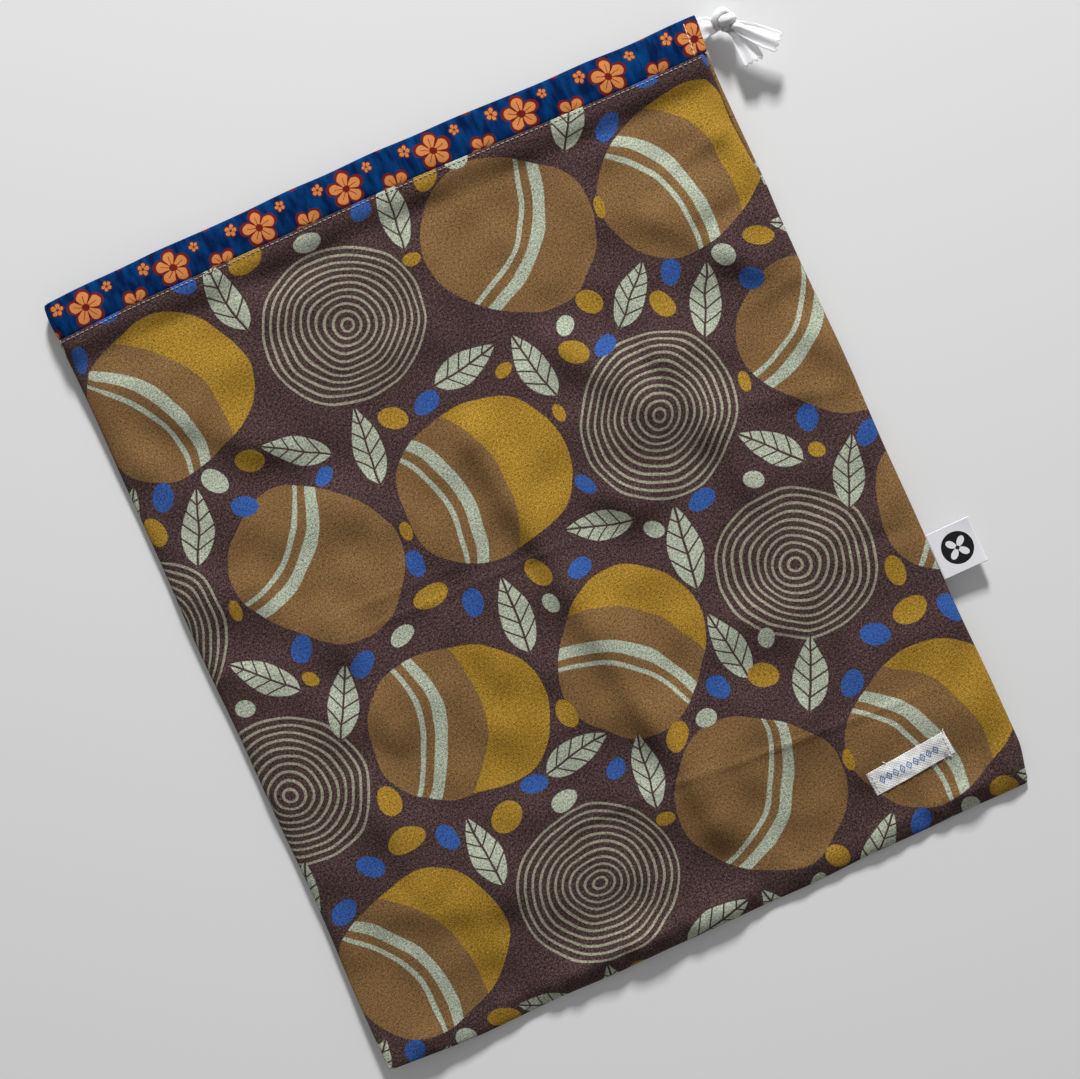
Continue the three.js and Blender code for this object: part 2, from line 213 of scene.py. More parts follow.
class Wire:
    """A node's result, which takes plain arithmetic."""

    def __init__(self, tree, socket):
        self.tree, self.socket = tree, socket

    def math(self, operation, *others):
        """One Math node with this result as its first input."""
        return add_node(self.tree, "Math", dict(enumerate((self, *others))), operation=operation)

    def held(self):
        """The same result, kept between 0 and 1."""
        self.socket.node.use_clamp = True
        return self

    def __add__(self, other):
        return self.math("ADD", other)

    def __sub__(self, other):
        return self.math("SUBTRACT", other)

    def __rsub__(self, other):
        return add_node(self.tree, "Math", {0: other, 1: self}, operation="SUBTRACT")

    def __mul__(self, other):
        return self.math("MULTIPLY", other)

    def __truediv__(self, other):
        return self.math("DIVIDE", other)

    def __pow__(self, other):
        return self.math("POWER", other)

    def __abs__(self):
        return self.math("ABSOLUTE")


def feed(socket, value):
    """Links a socket to a wire, or sets its own value."""
    if isinstance(value, Wire):
        value.tree.links.new(value.socket, socket)
    else:
        socket.default_value = value


def add_node(tree, kind, inputs, output=0, **settings):
    """One node with its settings and inputs, returned as one of its results."""
    node = tree.nodes.new("ShaderNode" + kind)
    for name, value in settings.items():
        setattr(node, name, value)
    for label, value in inputs.items():
        feed(node.inputs[label], value)
    return Wire(tree, node.outputs[output])


# %% Helpers that build finishes


def dye(code):
    """A hex colour code as the linear colour that shaders use."""
    parts = [int(code[k:k + 2], 16) / 255 for k in (1, 3, 5)]
    linear = [p / 12.92 if p <= 0.04045 else ((p + 0.055) / 1.055) ** 2.4 for p in parts]
    return (*linear, 1.0)


def new_finish(name, even):
    """A material, its tree and its shader's sockets, with the values that are even all over set."""
    material = bpy.data.materials.new(name)
    material.use_nodes = True
    shader = material.node_tree.nodes["Principled BSDF"].inputs
    for label, value in even.items():
        shader[label].default_value = value
    return material, material.node_tree, shader


def lay_over(amount, under, over, blend="MIX"):
    """One colour laid over another by an amount from 0 to 1."""
    tree = amount.tree if isinstance(amount, Wire) else under.tree
    return add_node(tree, "Mix", {0: amount, 6: under, 7: over}, 2, data_type="RGBA", blend_type=blend)


# %% Helpers for places, grain and weave


def cloth_place(tree):
    """Place on the flat cloth, in metres."""
    return add_node(tree, "UVMap", {}, uv_map="cloth")


def two_ways(place):
    """A place's two coordinates, across and along."""
    across = add_node(place.tree, "SeparateXYZ", {0: place})
    return across, Wire(place.tree, across.socket.node.outputs[1])


def stretched(place, across, along):
    """The place on the cloth counted in features a metre, so that grain can run one way."""
    return add_node(place.tree, "VectorMath", {0: place, 1: (across, along, 1.0)}, operation="MULTIPLY")


def grain(place, across, along, detail=2.0):
    """Even noise between 0 and 1, with its features a metre given both ways."""
    counted = stretched(place, across, along)
    return add_node(place.tree, "TexNoise", {"Vector": counted, "Scale": 1.0, "Detail": detail})


def raise_weave(shader, height, depth, strength):
    """Bump on a shader from a height between 0 and 1."""
    inputs = {"Strength": strength, "Distance": depth * MM, "Height": height}
    feed(shader["Normal"], add_node(height.tree, "Bump", inputs))


def woven_height(place, pitch):
    """Over-and-under of a plain weave with that yarn pitch, roughened by uneven yarn."""
    across, along = two_ways(place)
    turns = math.pi / (pitch * MM)
    over = (across * turns).math("SINE") * (along * turns).math("SINE") * 0.5 + 0.5
    slub = grain(place, 0.9 / (pitch * MM), 0.9 / (pitch * MM), 3.0)
    return slub * 1.2 + over * 0.6


# %% [markdown]
# ## White cotton tape
# The drawstring is a flat, soft twill tape. Its diagonal ribs are under a millimetre apart, so they
# are made as bump, with painted shade (a little grey) in the low places of the weave between the ribs
# and on thin yarn, and a faint sheen for the cotton fibres.
# Light soaks a little way into such thin white cotton, so its shaded side stays pale.

# %% Tape finish
TAPE_WHITE = dye("#f5f5f8")
TAPE_PAINTED_SHADE = dye("#e3e3ea")
TWILL_PITCH = 0.75 * MM
TWILL_DEPTH = 0.25
TAPE_GLOW_DEPTH = 2.2 * MM
TAPE_EVEN = {
    "Sheen Weight": 0.15, "Specular IOR Level": 0.2, "Subsurface Weight": 0.85,
    "Subsurface Radius": (1.0, 1.0, 1.0), "Subsurface Scale": TAPE_GLOW_DEPTH,
}


def tape_finish():
    material, tree, shader = new_finish("white_twill_tape", TAPE_EVEN)
    place = cloth_place(tree)
    across, along = two_ways(place)
    rib = ((across + along) * (2 * math.pi / TWILL_PITCH)).math("SINE")
    slub = grain(place, 1400.0, 700.0, 3.0)
    height = rib * 0.25 + slub
    # painted shade: the tape is greyed where the weave's height is low, between the ribs and on thin yarn
    painted_groove_shade = (height * -0.9 + 0.75).held()
    feed(shader["Base Color"], lay_over(painted_groove_shade, TAPE_WHITE, TAPE_PAINTED_SHADE))
    feed(shader["Roughness"], slub * 0.2 + 0.75)
    raise_weave(shader, height, TWILL_DEPTH, 0.6)
    return material


tape_white = tape_finish()
print("finish", tape_white.name)

# %% [markdown]
# ## The drawcord
# One length of tape runs from a pinked tail through an overhand knot, along the front of the casing,
# round its far end, back along the rear and through the same knot to the other tail. It is a ribbon
# swept along one list of points. Each point also says how wide the tape is there and which way its
# face looks. Where the tape is squeezed narrow it folds into pleats, so its woven width stays true; in
# the knot it is rolled into a plump round strand, and the two ends cross underneath.

# %% Route of the tape
UP = (0.0, 0.0, 1.0)
DOWN = (0.0, 0.0, -1.0)
OUTWARD = (-1.0, 0.0, 0.0)
TAPE_WIDTH = 9.5
RUN_Y, RUN_Z = 169.45, 8.35
BAG_THICKNESS = 10.0
FRONT_EXIT = (150.9, RUN_Y, RUN_Z)

# Each point is x, y, z and width, then the way the tape's face looks.
lower_tail = [
    (165.8, 146.9, 8.2, 9.3, UP),
    (165.5, 152.0, 7.9, 9.0, UP),
    (164.9, 157.5, 7.8, 7.6, UP),
    (163.9, 162.0, 7.9, 5.0, UP),
]
front_lead = [(156.2, 168.6, 8.0, 6.6, (-0.3, -0.2, 0.9)), (153.4, 169.3, 8.3, 8.6, UP)]
run_stations = (FRONT_EXIT[0], 146.0, 132.0, 95.0, 0.0, -95.0, -132.0, -145.0)
front_run = front_lead + [(x, RUN_Y, RUN_Z, TAPE_WIDTH, UP) for x in run_stations]
far_bend = [
    (-147.4, RUN_Y, 7.3, TAPE_WIDTH, (-0.7, 0.0, 0.7)),
    (-148.3, RUN_Y, 5.0, TAPE_WIDTH, OUTWARD),
    (-147.4, RUN_Y, 2.7, TAPE_WIDTH, (-0.7, 0.0, -0.7)),
]
front_run, far_bend = (
    [(x, y + float(mouth_bow(x)), *rest) for x, y, *rest in stretch] for stretch in (front_run, far_bend)
)
back_run = [(x, y, BAG_THICKNESS - z, width, DOWN) for x, y, z, width, _ in reversed(front_run[2:])]
back_lead = [
    (153.6, 169.7, 2.6, 8.6, (0.2, 0.0, -1.0)),
    (156.4, 169.3, 4.6, 6.6, (-0.4, -0.2, -0.9)),
]
upper_tail = [
    (164.6, 164.2, 9.6, 5.0, UP),
    (168.6, 160.4, 10.3, 7.2, UP),
    (173.4, 155.2, 10.5, 8.7, UP),
    (178.7, 150.0, 10.4, 9.2, UP),
]

# %% Overhand knot between the leads and the tails
KNOT_CENTRE = np.array([161.2, 168.9, 8.4])
KNOT_WIDTH = 4.8
KNOT_SIZE = 1.0
KNOT_DEPTH = 2.0
KNOT_OPENING = 0.25
KNOT_POINTS = 16
KNOT_TOWARDS_TAIL = np.array([0.85, -0.52, 0.0])
KNOT_CROSSING = np.array([-0.26, -0.43, -0.865])
KNOT_AXIS = np.cross(KNOT_CROSSING, KNOT_TOWARDS_TAIL)
STRANDS_APART = 0.5


def knot_strand(stacking):
    """Points of an open three-lobed knot, from the tail side to the lead side."""
    rows = []
    for turn in np.linspace(KNOT_OPENING, 2 * math.pi - KNOT_OPENING, KNOT_POINTS):
        reach = KNOT_SIZE * (2 + math.cos(3 * turn))
        from_centre = reach * math.cos(2 * turn) * KNOT_CROSSING
        from_centre = from_centre + reach * math.sin(2 * turn) * KNOT_TOWARDS_TAIL
        from_centre = from_centre + KNOT_DEPTH * math.sin(3 * turn) * KNOT_AXIS
        face = from_centre / np.linalg.norm(from_centre)
        rows.append((*(KNOT_CENTRE + from_centre + stacking * face), KNOT_WIDTH, tuple(face)))
    return rows


inner_strand, outer_strand = knot_strand(-STRANDS_APART), knot_strand(STRANDS_APART)
tape_route = lower_tail + inner_strand + front_run + far_bend
tape_route += back_run + back_lead + outer_strand[::-1] + upper_tail
print("tape route of", len(tape_route), "points,", 2 * KNOT_POINTS, "of them in the knot")

# %% Smooth line through the route
CURVE_POINTS = 24


def smooth_line(points, step):
    """A smooth curve through the given points, with a point about every step along it."""
    ends = np.vstack([2 * points[0] - points[1], points, 2 * points[-1] - points[-2]])
    share = np.linspace(0, 1, CURVE_POINTS, endpoint=False)[:, None]
    dense = []
    for before, start, end, after in zip(ends, ends[1:], ends[2:], ends[3:]):
        cubic = 3 * (start - end) + after - before
        square = 2 * before - 5 * start + 4 * end - after
        dense.append(start + 0.5 * share * (end - before + share * (square + share * cubic)))
    dense = np.vstack(dense + [points[-1:]])
    place = travelled(dense[:, :3])
    stations = np.linspace(0, place[-1], round(place[-1] / step) + 1)
    columns = [np.interp(stations, place, dense[:, k]) for k in range(dense.shape[1])]
    return np.stack(columns, 1), stations


def unit(vectors):
    return vectors / np.linalg.norm(vectors, axis=-1, keepdims=True)


# %% Ribbon swept along the route
TAPE_THICKNESS = 0.55
TAPE_STEP = 0.8
PLEATS = 1.5
TAIL_CREASE = 0.55
TAIL_LENGTH = 22.0
KNOT_PLEATED = 0.12
KNOT_CROWN = 1.7
KNOT_INSIDE, KNOT_OUTSIDE = 3.6, 9.6
PINKING_DEPTH = 1.5
PINKING_TEETH = 4
ACROSS_POINTS = 15


def tape_lift(middle, width, end_distance, share):
    """How far the tape's pleats, tail creases and round knot strands stand up across its width."""
    creased = TAIL_CREASE * ramp(end_distance, TAIL_LENGTH, 0)
    in_knot = ramp(np.linalg.norm(middle - KNOT_CENTRE, axis=1), KNOT_OUTSIDE, KNOT_INSIDE)
    spare = np.maximum((TAPE_WIDTH / width) ** 2 - 1, 0)
    pleat = width / (2 * math.pi * PLEATS) * np.sqrt(2 * spare) * (1 - (1 - KNOT_PLEATED) * in_knot)
    lift = pleat[:, None] * np.cos(2 * math.pi * PLEATS * share)
    lift = lift + creased[:, None] * (1 - np.abs(2 * share))
    return lift + KNOT_CROWN * in_knot[:, None] * np.sqrt(1 - (2 * share) ** 2)


def tape_ribbon(route):
    """The tape's closed skin, its map, and the line it follows, in metres."""
    rows = np.array([[*place, *face] for *place, face in route])
    line, stations = smooth_line(rows, TAPE_STEP)
    middle, width, face = line[:, :3], line[:, 3], line[:, 4:]
    along = unit(np.gradient(middle, axis=0))
    face = unit(face - along * np.sum(face * along, 1, keepdims=True))
    sideways = np.cross(face, along)
    end_distance = np.minimum(stations, stations[-1] - stations)
    share = np.linspace(-0.5, 0.5, ACROSS_POINTS)
    lift = tape_lift(middle, width, end_distance, share)
    teeth = np.abs((share * PINKING_TEETH) % 1.0 - 0.5) * 2 * PINKING_DEPTH
    at_end = ramp(end_distance, 2 * PINKING_DEPTH, 0)[:, None]
    to_middle = np.where(stations < stations[-1] / 2, 1.0, -1.0)[:, None]
    sheet = middle[:, None] + sideways[:, None] * (width[:, None] * share)[..., None]
    sheet = sheet + along[:, None] * (at_end * teeth * to_middle)[..., None]
    top = sheet + face[:, None] * (lift + TAPE_THICKNESS / 2)[..., None]
    under = sheet + face[:, None] * (lift - TAPE_THICKNESS / 2)[..., None]
    skin = np.concatenate([top, under[:, ::-1]], 1)
    flat = np.concatenate([share, share[::-1]]) * TAPE_WIDTH
    return skin * MM, cloth_map(flat[None, :], stations[:, None]) * MM, middle * MM


skin, tape_map, tape_line = tape_ribbon(tape_route)
ring_count = skin.shape[1]
faces = grid_faces(*skin.shape[:2], ring=True)
last_ring = (skin.shape[0] - 1) * ring_count
for k in range(ACROSS_POINTS - 1):
    faces.append([k + 1, k, ring_count - 1 - k, ring_count - 2 - k])
    faces.append([last_ring + j for j in (k, k + 1, ring_count - 2 - k, ring_count - 1 - k)])
drawcord = new_piece("drawcord_tape", skin, faces, tape_white, tape_map)
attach(drawcord, "drawcord")
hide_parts("tape_run_front", "tape_run_back", "tape_bend", "tape_lead_front")
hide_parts("tape_lead_back", "knot", "tape_tail_upper", "tape_tail_lower")

# %% [markdown]
# ## Printed canvas
# The body is a soft, peached cotton printed in five colours on a heathered plum ground. The print
# here is a plain one: banded river pebbles, ripples and leaves. Each motif is a small node group that
# finds its own place in a repeat, turns it, and lays its colours over whatever is already there. The
# repeat is larger than half the bag, as on real yardage, so the eye finds no pattern of rows.

# %% Print colours and the repeat
PLUM, PLUM_DARK, PLUM_PALE = dye("#44302e"), dye("#2d1c1b"), dye("#554140")
BROWN = dye("#795b38")
MUSTARD = dye("#997627")
SAGE = dye("#a5ac99")
BLUE = dye("#305293")
LINEN_GREY = dye("#908d79")
CANVAS_REPEAT = (240.0, 260.0)
INK_EDGE = 0.35
print("the print repeats every", CANVAS_REPEAT, "mm")

# %% What every motif does


def motif_group(name, floats, colours):
    """An empty node group that takes a place on the cloth, the colour so far and a motif's numbers."""
    group = bpy.data.node_groups.new(name, "ShaderNodeTree")
    kinds = {
        "Vector": ("Place", "Centre", "Turn", "Half size"),
        "Color": ("Under", *colours),
        "Float": ("Sharpness", *floats),
    }
    for kind, labels in kinds.items():
        for label in labels:
            group.interface.new_socket(label, in_out="INPUT", socket_type="NodeSocket" + kind)
    group.interface.new_socket("Colour", in_out="OUTPUT", socket_type="NodeSocketColor")
    sockets = group.nodes.new("NodeGroupInput").outputs
    given = {socket.name: Wire(group, socket) for socket in sockets if socket.name}
    return group, given, group.nodes.new("NodeGroupOutput").inputs[0]


def own_axes(given, repeat):
    """Along and across a motif, both from -1 to 1 inside it, wherever the repeat puts it."""
    tree = given["Place"].tree
    away = add_node(tree, "VectorMath", {0: given["Place"], 1: given["Centre"]}, operation="SUBTRACT")
    half = np.array([*repeat, 2.0]) / 2
    nearest = add_node(tree, "VectorMath", {0: away, 1: half, 2: -half}, operation="WRAP")
    turned = {"Vector": nearest, "Rotation": given["Turn"], "Scale": given["Half size"]}
    within = add_node(tree, "Mapping", turned, vector_type="TEXTURE")
    return *two_ways(within), within


def inked(inside, given):
    """A crisp print edge where a value crosses zero, as wide as the ink bleeds."""
    return (inside * given["Sharpness"] + 0.5).held()


def ellipse_inside(within):
    """How far inside a plain ellipse a place is: 1 in the middle, 0 on the edge."""
    return 1.0 - add_node(within.tree, "VectorMath", {0: within}, "Value", operation="LENGTH")


def oval_inside(along, across, squareness):
    """The same inside an oval with squarer shoulders."""
    return 1.0 - (abs(along) ** squareness + abs(across) ** squareness) ** (1 / squareness)


# %% Motifs of the print
SHOULDERS = 2.5
BAND_BOW = 0.28
WIDE_BAND, THIN_BAND, BANDS_APART = 0.075, 0.03, 0.21
VEIN = 0.07
VEINS_ALONG, VEIN_SLANT = 2.6, 0.9
RING_SHARE = 0.34


def pebble_group():
    tree, given, result = motif_group("banded_pebble", ["Cap", "Band"], ["Stone", "Capped", "Banded"])
    along, across, _ = own_axes(given, CANVAS_REPEAT)
    bowed = along + across * across * BAND_BOW
    from_band = bowed - given["Band"]
    thin = THIN_BAND - abs(from_band + BANDS_APART)
    bands = inked((WIDE_BAND - abs(from_band)).math("MAXIMUM", thin), given)
    stone = lay_over(inked(bowed - given["Cap"], given), given["Stone"], given["Capped"])
    stone = lay_over(bands, stone, given["Banded"])
    shape = inked(oval_inside(along, across, SHOULDERS), given)
    feed(result, lay_over(shape, given["Under"], stone))
    return tree


def leaf_group():
    tree, given, result = motif_group("veined_leaf", [], ["Leaf", "Vein"])
    along, across, _ = own_axes(given, CANVAS_REPEAT)
    fuller = (along * -0.25 + 1.0).math("MAXIMUM", 0.1)
    off_rib = abs(across)
    shape = inked((1.0 - along * along) * fuller - off_rib, given)
    slant = along * VEINS_ALONG - off_rib * VEIN_SLANT
    vein = (VEIN - abs(slant.math("FRACT") - 0.5)) * 0.8
    veins = inked((VEIN - off_rib).math("MAXIMUM", vein), given)
    leaf = lay_over(veins, given["Leaf"], given["Vein"])
    feed(result, lay_over(shape, given["Under"], leaf))
    return tree


def ripple_group():
    tree, given, result = motif_group("ripple_rings", ["Rings"], ["Line"])
    inside = ellipse_inside(own_axes(given, CANVAS_REPEAT)[2])
    steps = (inside * given["Rings"]).math("FRACT")
    lines = inked((RING_SHARE - steps) / given["Rings"], given) * inked(inside, given)
    feed(result, lay_over(lines, given["Under"], given["Line"]))
    return tree


def dot_group():
    tree, given, result = motif_group("seed_dot", [], ["Ink"])
    shape = inked(ellipse_inside(own_axes(given, CANVAS_REPEAT)[2]), given)
    feed(result, lay_over(shape, given["Under"], given["Ink"]))
    return tree


pebble_motif, leaf_motif, ripple_motif, dot_motif = motifs = (
    pebble_group(), leaf_group(), ripple_group(), dot_group()
)
for motif in motifs:
    print("motif", motif.name, "of", len(motif.nodes), "nodes")

# %% Where the motifs lie in one repeat
# Pebbles: x, y, length, width, turn in degrees, then where the cap and the bands lie. Ripples end in
# their number of rings; leaves and dots have a place, two sizes and a turn.
pebbles = [
    (38, 46, 75, 63, 24, 0.42, -0.05),
    (199, 49, 74, 64, -38, 2.0, 0.30),
    (93, 130, 77, 63, -14, 0.30, -0.20),
    (173, 127, 73, 61, 52, 0.50, 0.05),
    (66, 216, 75, 62, -46, 2.0, -0.15),
    (146, 219, 75, 65, 8, 0.22, -0.30),
]
ripples = [(119, 43, 72, 66, 15, 11), (14, 132, 70, 65, -20, 10), (226, 214, 74, 67, 40, 11)]
leaves = [
    (80, 75, 36, 14, 96), (158, 78, 34, 13, 82), (240, 87, 34, 14, 62), (132, 97, 32, 13, 8),
    (213, 112, 36, 14, 100), (51, 158, 34, 14, 62), (134, 161, 36, 14, 88), (213, 158, 38, 14, 82),
    (184, 181, 32, 13, 165), (25, 181, 32, 13, 135), (106, 252, 36, 14, 84), (186, 254, 34, 14, 104),
    (25, 250, 34, 14, 66), (158, 6, 34, 14, 12), (78, 3, 30, 12, 150), (237, 6, 32, 13, 48),
]
mustard_dots = [
    (95, 85, 15, 11, 20), (51, 94, 16, 11, 10), (176, 86, 13, 9, 60), (222, 94, 14, 10, 150),
    (52, 112, 9, 13, 0), (136, 114, 8, 13, 10), (42, 173, 6, 8, 50), (104, 183, 15, 10, 0),
    (151, 174, 13, 9, 120), (121, 259, 9, 13, 60), (205, 253, 13, 9, 140), (8, 257, 9, 13, 20),
    (58, 7, 14, 9, 160), (219, 10, 9, 12, 40), (240, 46, 5, 9, 0), (157, 57, 8, 6, 0),
    (106, 214, 5, 9, 10), (187, 232, 5, 8, 0), (26, 212, 5, 9, 170), (205, 138, 6, 8, 10),
    (174, 258, 8, 6, 20),
]
blue_dots = [
    (67, 88, 9, 13, 20), (145, 84, 10, 8, 30), (254, 76, 13, 9, 40), (33, 90, 13, 9, 150),
    (111, 93, 12, 8, 170), (201, 98, 9, 12, 20), (66, 170, 13, 9, 30), (119, 173, 9, 12, 150),
    (227, 174, 13, 9, 20), (168, 169, 12, 8, 10), (105, 199, 8, 12, 0), (44, 186, 12, 9, 60),
    (84, 248.5, 7, 9, 120), (47, 251, 12, 9, 150), (137, 258, 12, 8, 10), (17, 8, 12, 9, 60),
    (185, 200, 6, 10, 20), (218, 250, 11, 8, 20),
]
sage_dots = [
    (120, 81, 12, 8, 5), (190, 88, 10, 8, 10), (229, 108, 7, 9, 0), (150, 160, 7, 9, 20),
    (86, 173, 11, 8, 20), (206, 4, 9, 7, 40), (40, 5, 9, 11, 30), (204.5, 170, 7, 9, 40),
    (12, 172, 9, 7, 150),
]

# %% Stamp the motifs on the ground


def spot(x, y, length, width, turn, **more):
    """A motif's place, turn, half sizes and edge sharpness, as its group takes them."""
    place = {"Centre": (x, y, 0.0), "Turn": (0.0, 0.0, math.radians(turn))}
    return {**place, "Half size": (length / 2, width / 2, 1.0), "Sharpness": width / 2 / INK_EDGE, **more}


def stamp(motif, place, under, numbers, **colours):
    """Adds one motif to the print and returns the colour with it on."""
    inputs = {"Place": place, "Under": under, **numbers, **colours}
    return add_node(place.tree, "Group", inputs, node_tree=motif)


def hand_drawn(place, waver, size):
    """The place in millimetres, wavering a little as a hand-cut stencil's edges do."""
    noise = {"Vector": place, "Scale": 1 / (size * MM), "Detail": 1.0}
    wavering = add_node(place.tree, "TexNoise", noise, "Color")
    inputs = {0: wavering, 1: (waver, waver, 0.0), 2: stretched(place, 1 / MM, 1 / MM)}
    return add_node(place.tree, "VectorMath", inputs, operation="MULTIPLY_ADD")


def print_colour(place, heather):
    """The heathered ground with every motif of the repeat laid on it."""
    drawn = hand_drawn(place, 5.0, 26)
    colour = lay_over(heather, PLUM_DARK, PLUM_PALE)
    for *where, rings in ripples:
        colour = stamp(ripple_motif, drawn, colour, spot(*where, Rings=rings), Line=LINEN_GREY)
    dyes = {"Stone": BROWN, "Capped": MUSTARD, "Banded": SAGE}
    for *where, cap, band in pebbles:
        colour = stamp(pebble_motif, drawn, colour, spot(*where, Cap=cap, Band=band), **dyes)
    for leaf in leaves:
        colour = stamp(leaf_motif, drawn, colour, spot(*leaf), Leaf=SAGE, Vein=PLUM)
    for dots, ink in ((mustard_dots, MUSTARD), (blue_dots, BLUE), (sage_dots, SAGE)):
        for dot in dots:
            colour = stamp(dot_motif, drawn, colour, spot(*dot), Ink=ink)
    return colour


# %% Canvas finish
CANVAS_YARN = 0.5
CANVAS_DEPTH = 0.16
CANVAS_FUZZ = 1700.0
YARN_THICK, YARN_LONG = 1500.0, 800.0
CLOUDS = 22.0


def canvas_finish():
    even = {"Sheen Weight": 0.03, "Sheen Roughness": 0.6, "Specular IOR Level": 0.1}
    material, tree, shader = new_finish("printed_canvas", even)
    place = cloth_place(tree)
    fuzz = grain(place, CANVAS_FUZZ, CANVAS_FUZZ)
    yarns = grain(place, YARN_THICK, YARN_LONG) + grain(place, YARN_LONG, YARN_THICK)
    heather = ((yarns + fuzz) * 1.5 - 1.75).held()
    colour = print_colour(place, heather)
    cloudy = grain(place, CLOUDS, CLOUDS, 3.0)
    shade = (fuzz * 2.2 + yarns * 1.4 + cloudy * 0.2 - 1.6).math("MAXIMUM", 0.2)
    feed(shader["Base Color"], lay_over(1.0, colour, shade, "MULTIPLY"))
    feed(shader["Roughness"], fuzz * 0.2 + 0.78)
    raise_weave(shader, woven_height(place, CANVAS_YARN), CANVAS_DEPTH, 0.55)
    return material


canvas = canvas_finish()
large_motifs = len(pebbles) + len(ripples) + len(leaves)
print("print of", large_motifs, "large motifs and", len(canvas.node_tree.nodes), "nodes")

# %% [markdown]
# ## The two panels
# Each panel is one sheet. Its grid follows the bag's outline: flat in the middle, rolled over at the
# sides and the bottom, with the mouth edge turned under. The seam shows on the right, where the back
# cloth wraps forward a little, and hides under the roll on the left. Nothing is simulated: the bag was
# pressed and laid flat, so its few creases and puckers are placed one by one and by seeded waves.

# %% Where the folds and creases lie
# Each fold is its two ends as x and height up the bag, then its crest's rise.
folds = [
    ((-9, 236), (21, 30), 5.2),
    ((37, 258), (69, 202), 3.4),
    ((78, 236), (93, 150), 3.6),
    ((94, 289), (140, 236), 3.6),
    ((-121, 288), (-76, 250), 2.8),
    ((-93, 190), (-88, 120), 2.7),
    ((-110, 126), (-104, 54), 2.7),
    ((-136, 68), (-72, 44), 1.3),
    ((26, 192), (50, 166), 2.2),
    ((60, 118), (86, 98), 1.8),
]
# Each crease is its two ends, its half breadth and its height.
creases = [
    ((-104, -2), (34, -5), 1.4, 0.55),
    ((-100, 8), (-20, 6), 1.6, 0.4),
    ((-80, -113), (48, -114), 1.4, 0.5),
    ((0, -114), (142, -124.5), 1.4, 0.6),
    ((98, 118), (152, 128), 4.0, 1.0),
    ((104, 92), (152, 97), 4.5, -0.9),
    ((110, 52), (152, 60), 4.0, 0.8),
    ((92, 20), (152, 5), 4.0, 0.9),
    ((100, -52), (152, -60), 4.0, -0.8),
]
print(len(folds), "folds and", len(creases), "creases")

# %% Waves, folds and creases
FOLD_STEEP, FOLD_GENTLE = 7.5, 13.0
CREASE_FADES = 0.3


def cloth_waves(x, y, seed, count, shortest, longest, height):
    """A sum of seeded waves in all directions, with about that height."""
    random = np.random.default_rng(seed)
    total = np.zeros_like(x)
    for _ in range(count):
        wavelength = random.uniform(shortest, longest)
        heading, phase = random.uniform(0, 2 * math.pi, 2)
        across = x * math.cos(heading) + y * math.sin(heading)
        total += np.sin(2 * math.pi * across / wavelength + phase)
    return height * total / math.sqrt(count / 2)


def from_line(x, y, start, end):
    """Distances along a line and square to it, and the line's length."""
    way = np.subtract(end, start)
    length = np.hypot(*way)
    along = ((x - start[0]) * way[0] + (y - start[1]) * way[1]) / length
    across = ((y - start[1]) * way[0] - (x - start[0]) * way[1]) / length
    return along, across, length


def crease(x, y, start, end, half_breadth, height):
    """A fold line pressed into the cloth, fading at both ends."""
    along, across, length = from_line(x, y, start, end)
    fade = ramp(along, 0, CREASE_FADES * length) * ramp(length - along, 0, CREASE_FADES * length)
    return height * fade * hump(across, half_breadth)


def soft_fold(x, up, start, end, rise):
    """A fold with a steep flank towards the bag's lower left, dying away at both ends."""
    along, across, length = from_line(x, up, start, end)
    flank = np.where(across < 0, FOLD_STEEP, FOLD_GENTLE)
    fade = ramp(along, -FOLD_STEEP, FOLD_GENTLE) * ramp(length - along, -FOLD_STEEP, FOLD_GENTLE)
    return rise * fade * hump(across, flank)


# %% Relief of the front cloth
# Each set of waves is its seed, count, shortest and longest wave, and height.
BROAD_WAVES, MIDDLE_WAVES, FINE_WAVES = (3, 9, 70, 150, 0.9), (4, 18, 24, 56, 0.62), (5, 18, 12, 26, 0.22)
MOUTH_PUCKERS = (8, 8, 16, 40, 0.9)
BOTTOM_PUCKERS = (11, 8, 8, 18, 0.5)
SIDE_PUCKERS = (13, 8, 10, 26, 0.6)
UNEVEN_SEAM = (17, 6, 30, 90, 0.35)
SEAM_ALLOWANCE = 8.0
HOLLOW_ABOVE_SEAM = 22.0
HOLLOW_BELOW_MOUTH = 13.5


def front_relief(x, y):
    """Height of the front cloth over its smooth shape."""
    from_mouth, from_bottom, from_right = mouth - y, y - bottom, half_width - x
    free = ramp(from_mouth, 8, 30)
    relief = np.maximum.reduce([soft_fold(x, from_bottom, *row) for row in folds]) * free
    for waves in (BROAD_WAVES, MIDDLE_WAVES, FINE_WAVES):
        relief += cloth_waves(x, y, *waves) * free
    below_mouth = ramp(from_mouth, 7, 17) * np.exp(-from_mouth / 26)
    relief += cloth_waves(x, 0.25 * y, *MOUTH_PUCKERS) * below_mouth
    relief += cloth_waves(x, 0.5 * y, *BOTTOM_PUCKERS) * np.exp(-from_bottom / 9)
    relief += cloth_waves(0.6 * x, y, *SIDE_PUCKERS) * free * np.exp(-from_right / 14)
    uneven = 1.0 + cloth_waves(x, 0 * y, *UNEVEN_SEAM)
    relief += 1.1 * uneven * hump(from_bottom - SEAM_ALLOWANCE, 4)
    relief -= 1.1 * uneven * hump(from_bottom - HOLLOW_ABOVE_SEAM, 7)
    relief -= 0.6 * uneven * hump(from_mouth - HOLLOW_BELOW_MOUTH, 5.5)
    for row in creases:
        relief += crease(x, y, *row)
    return relief


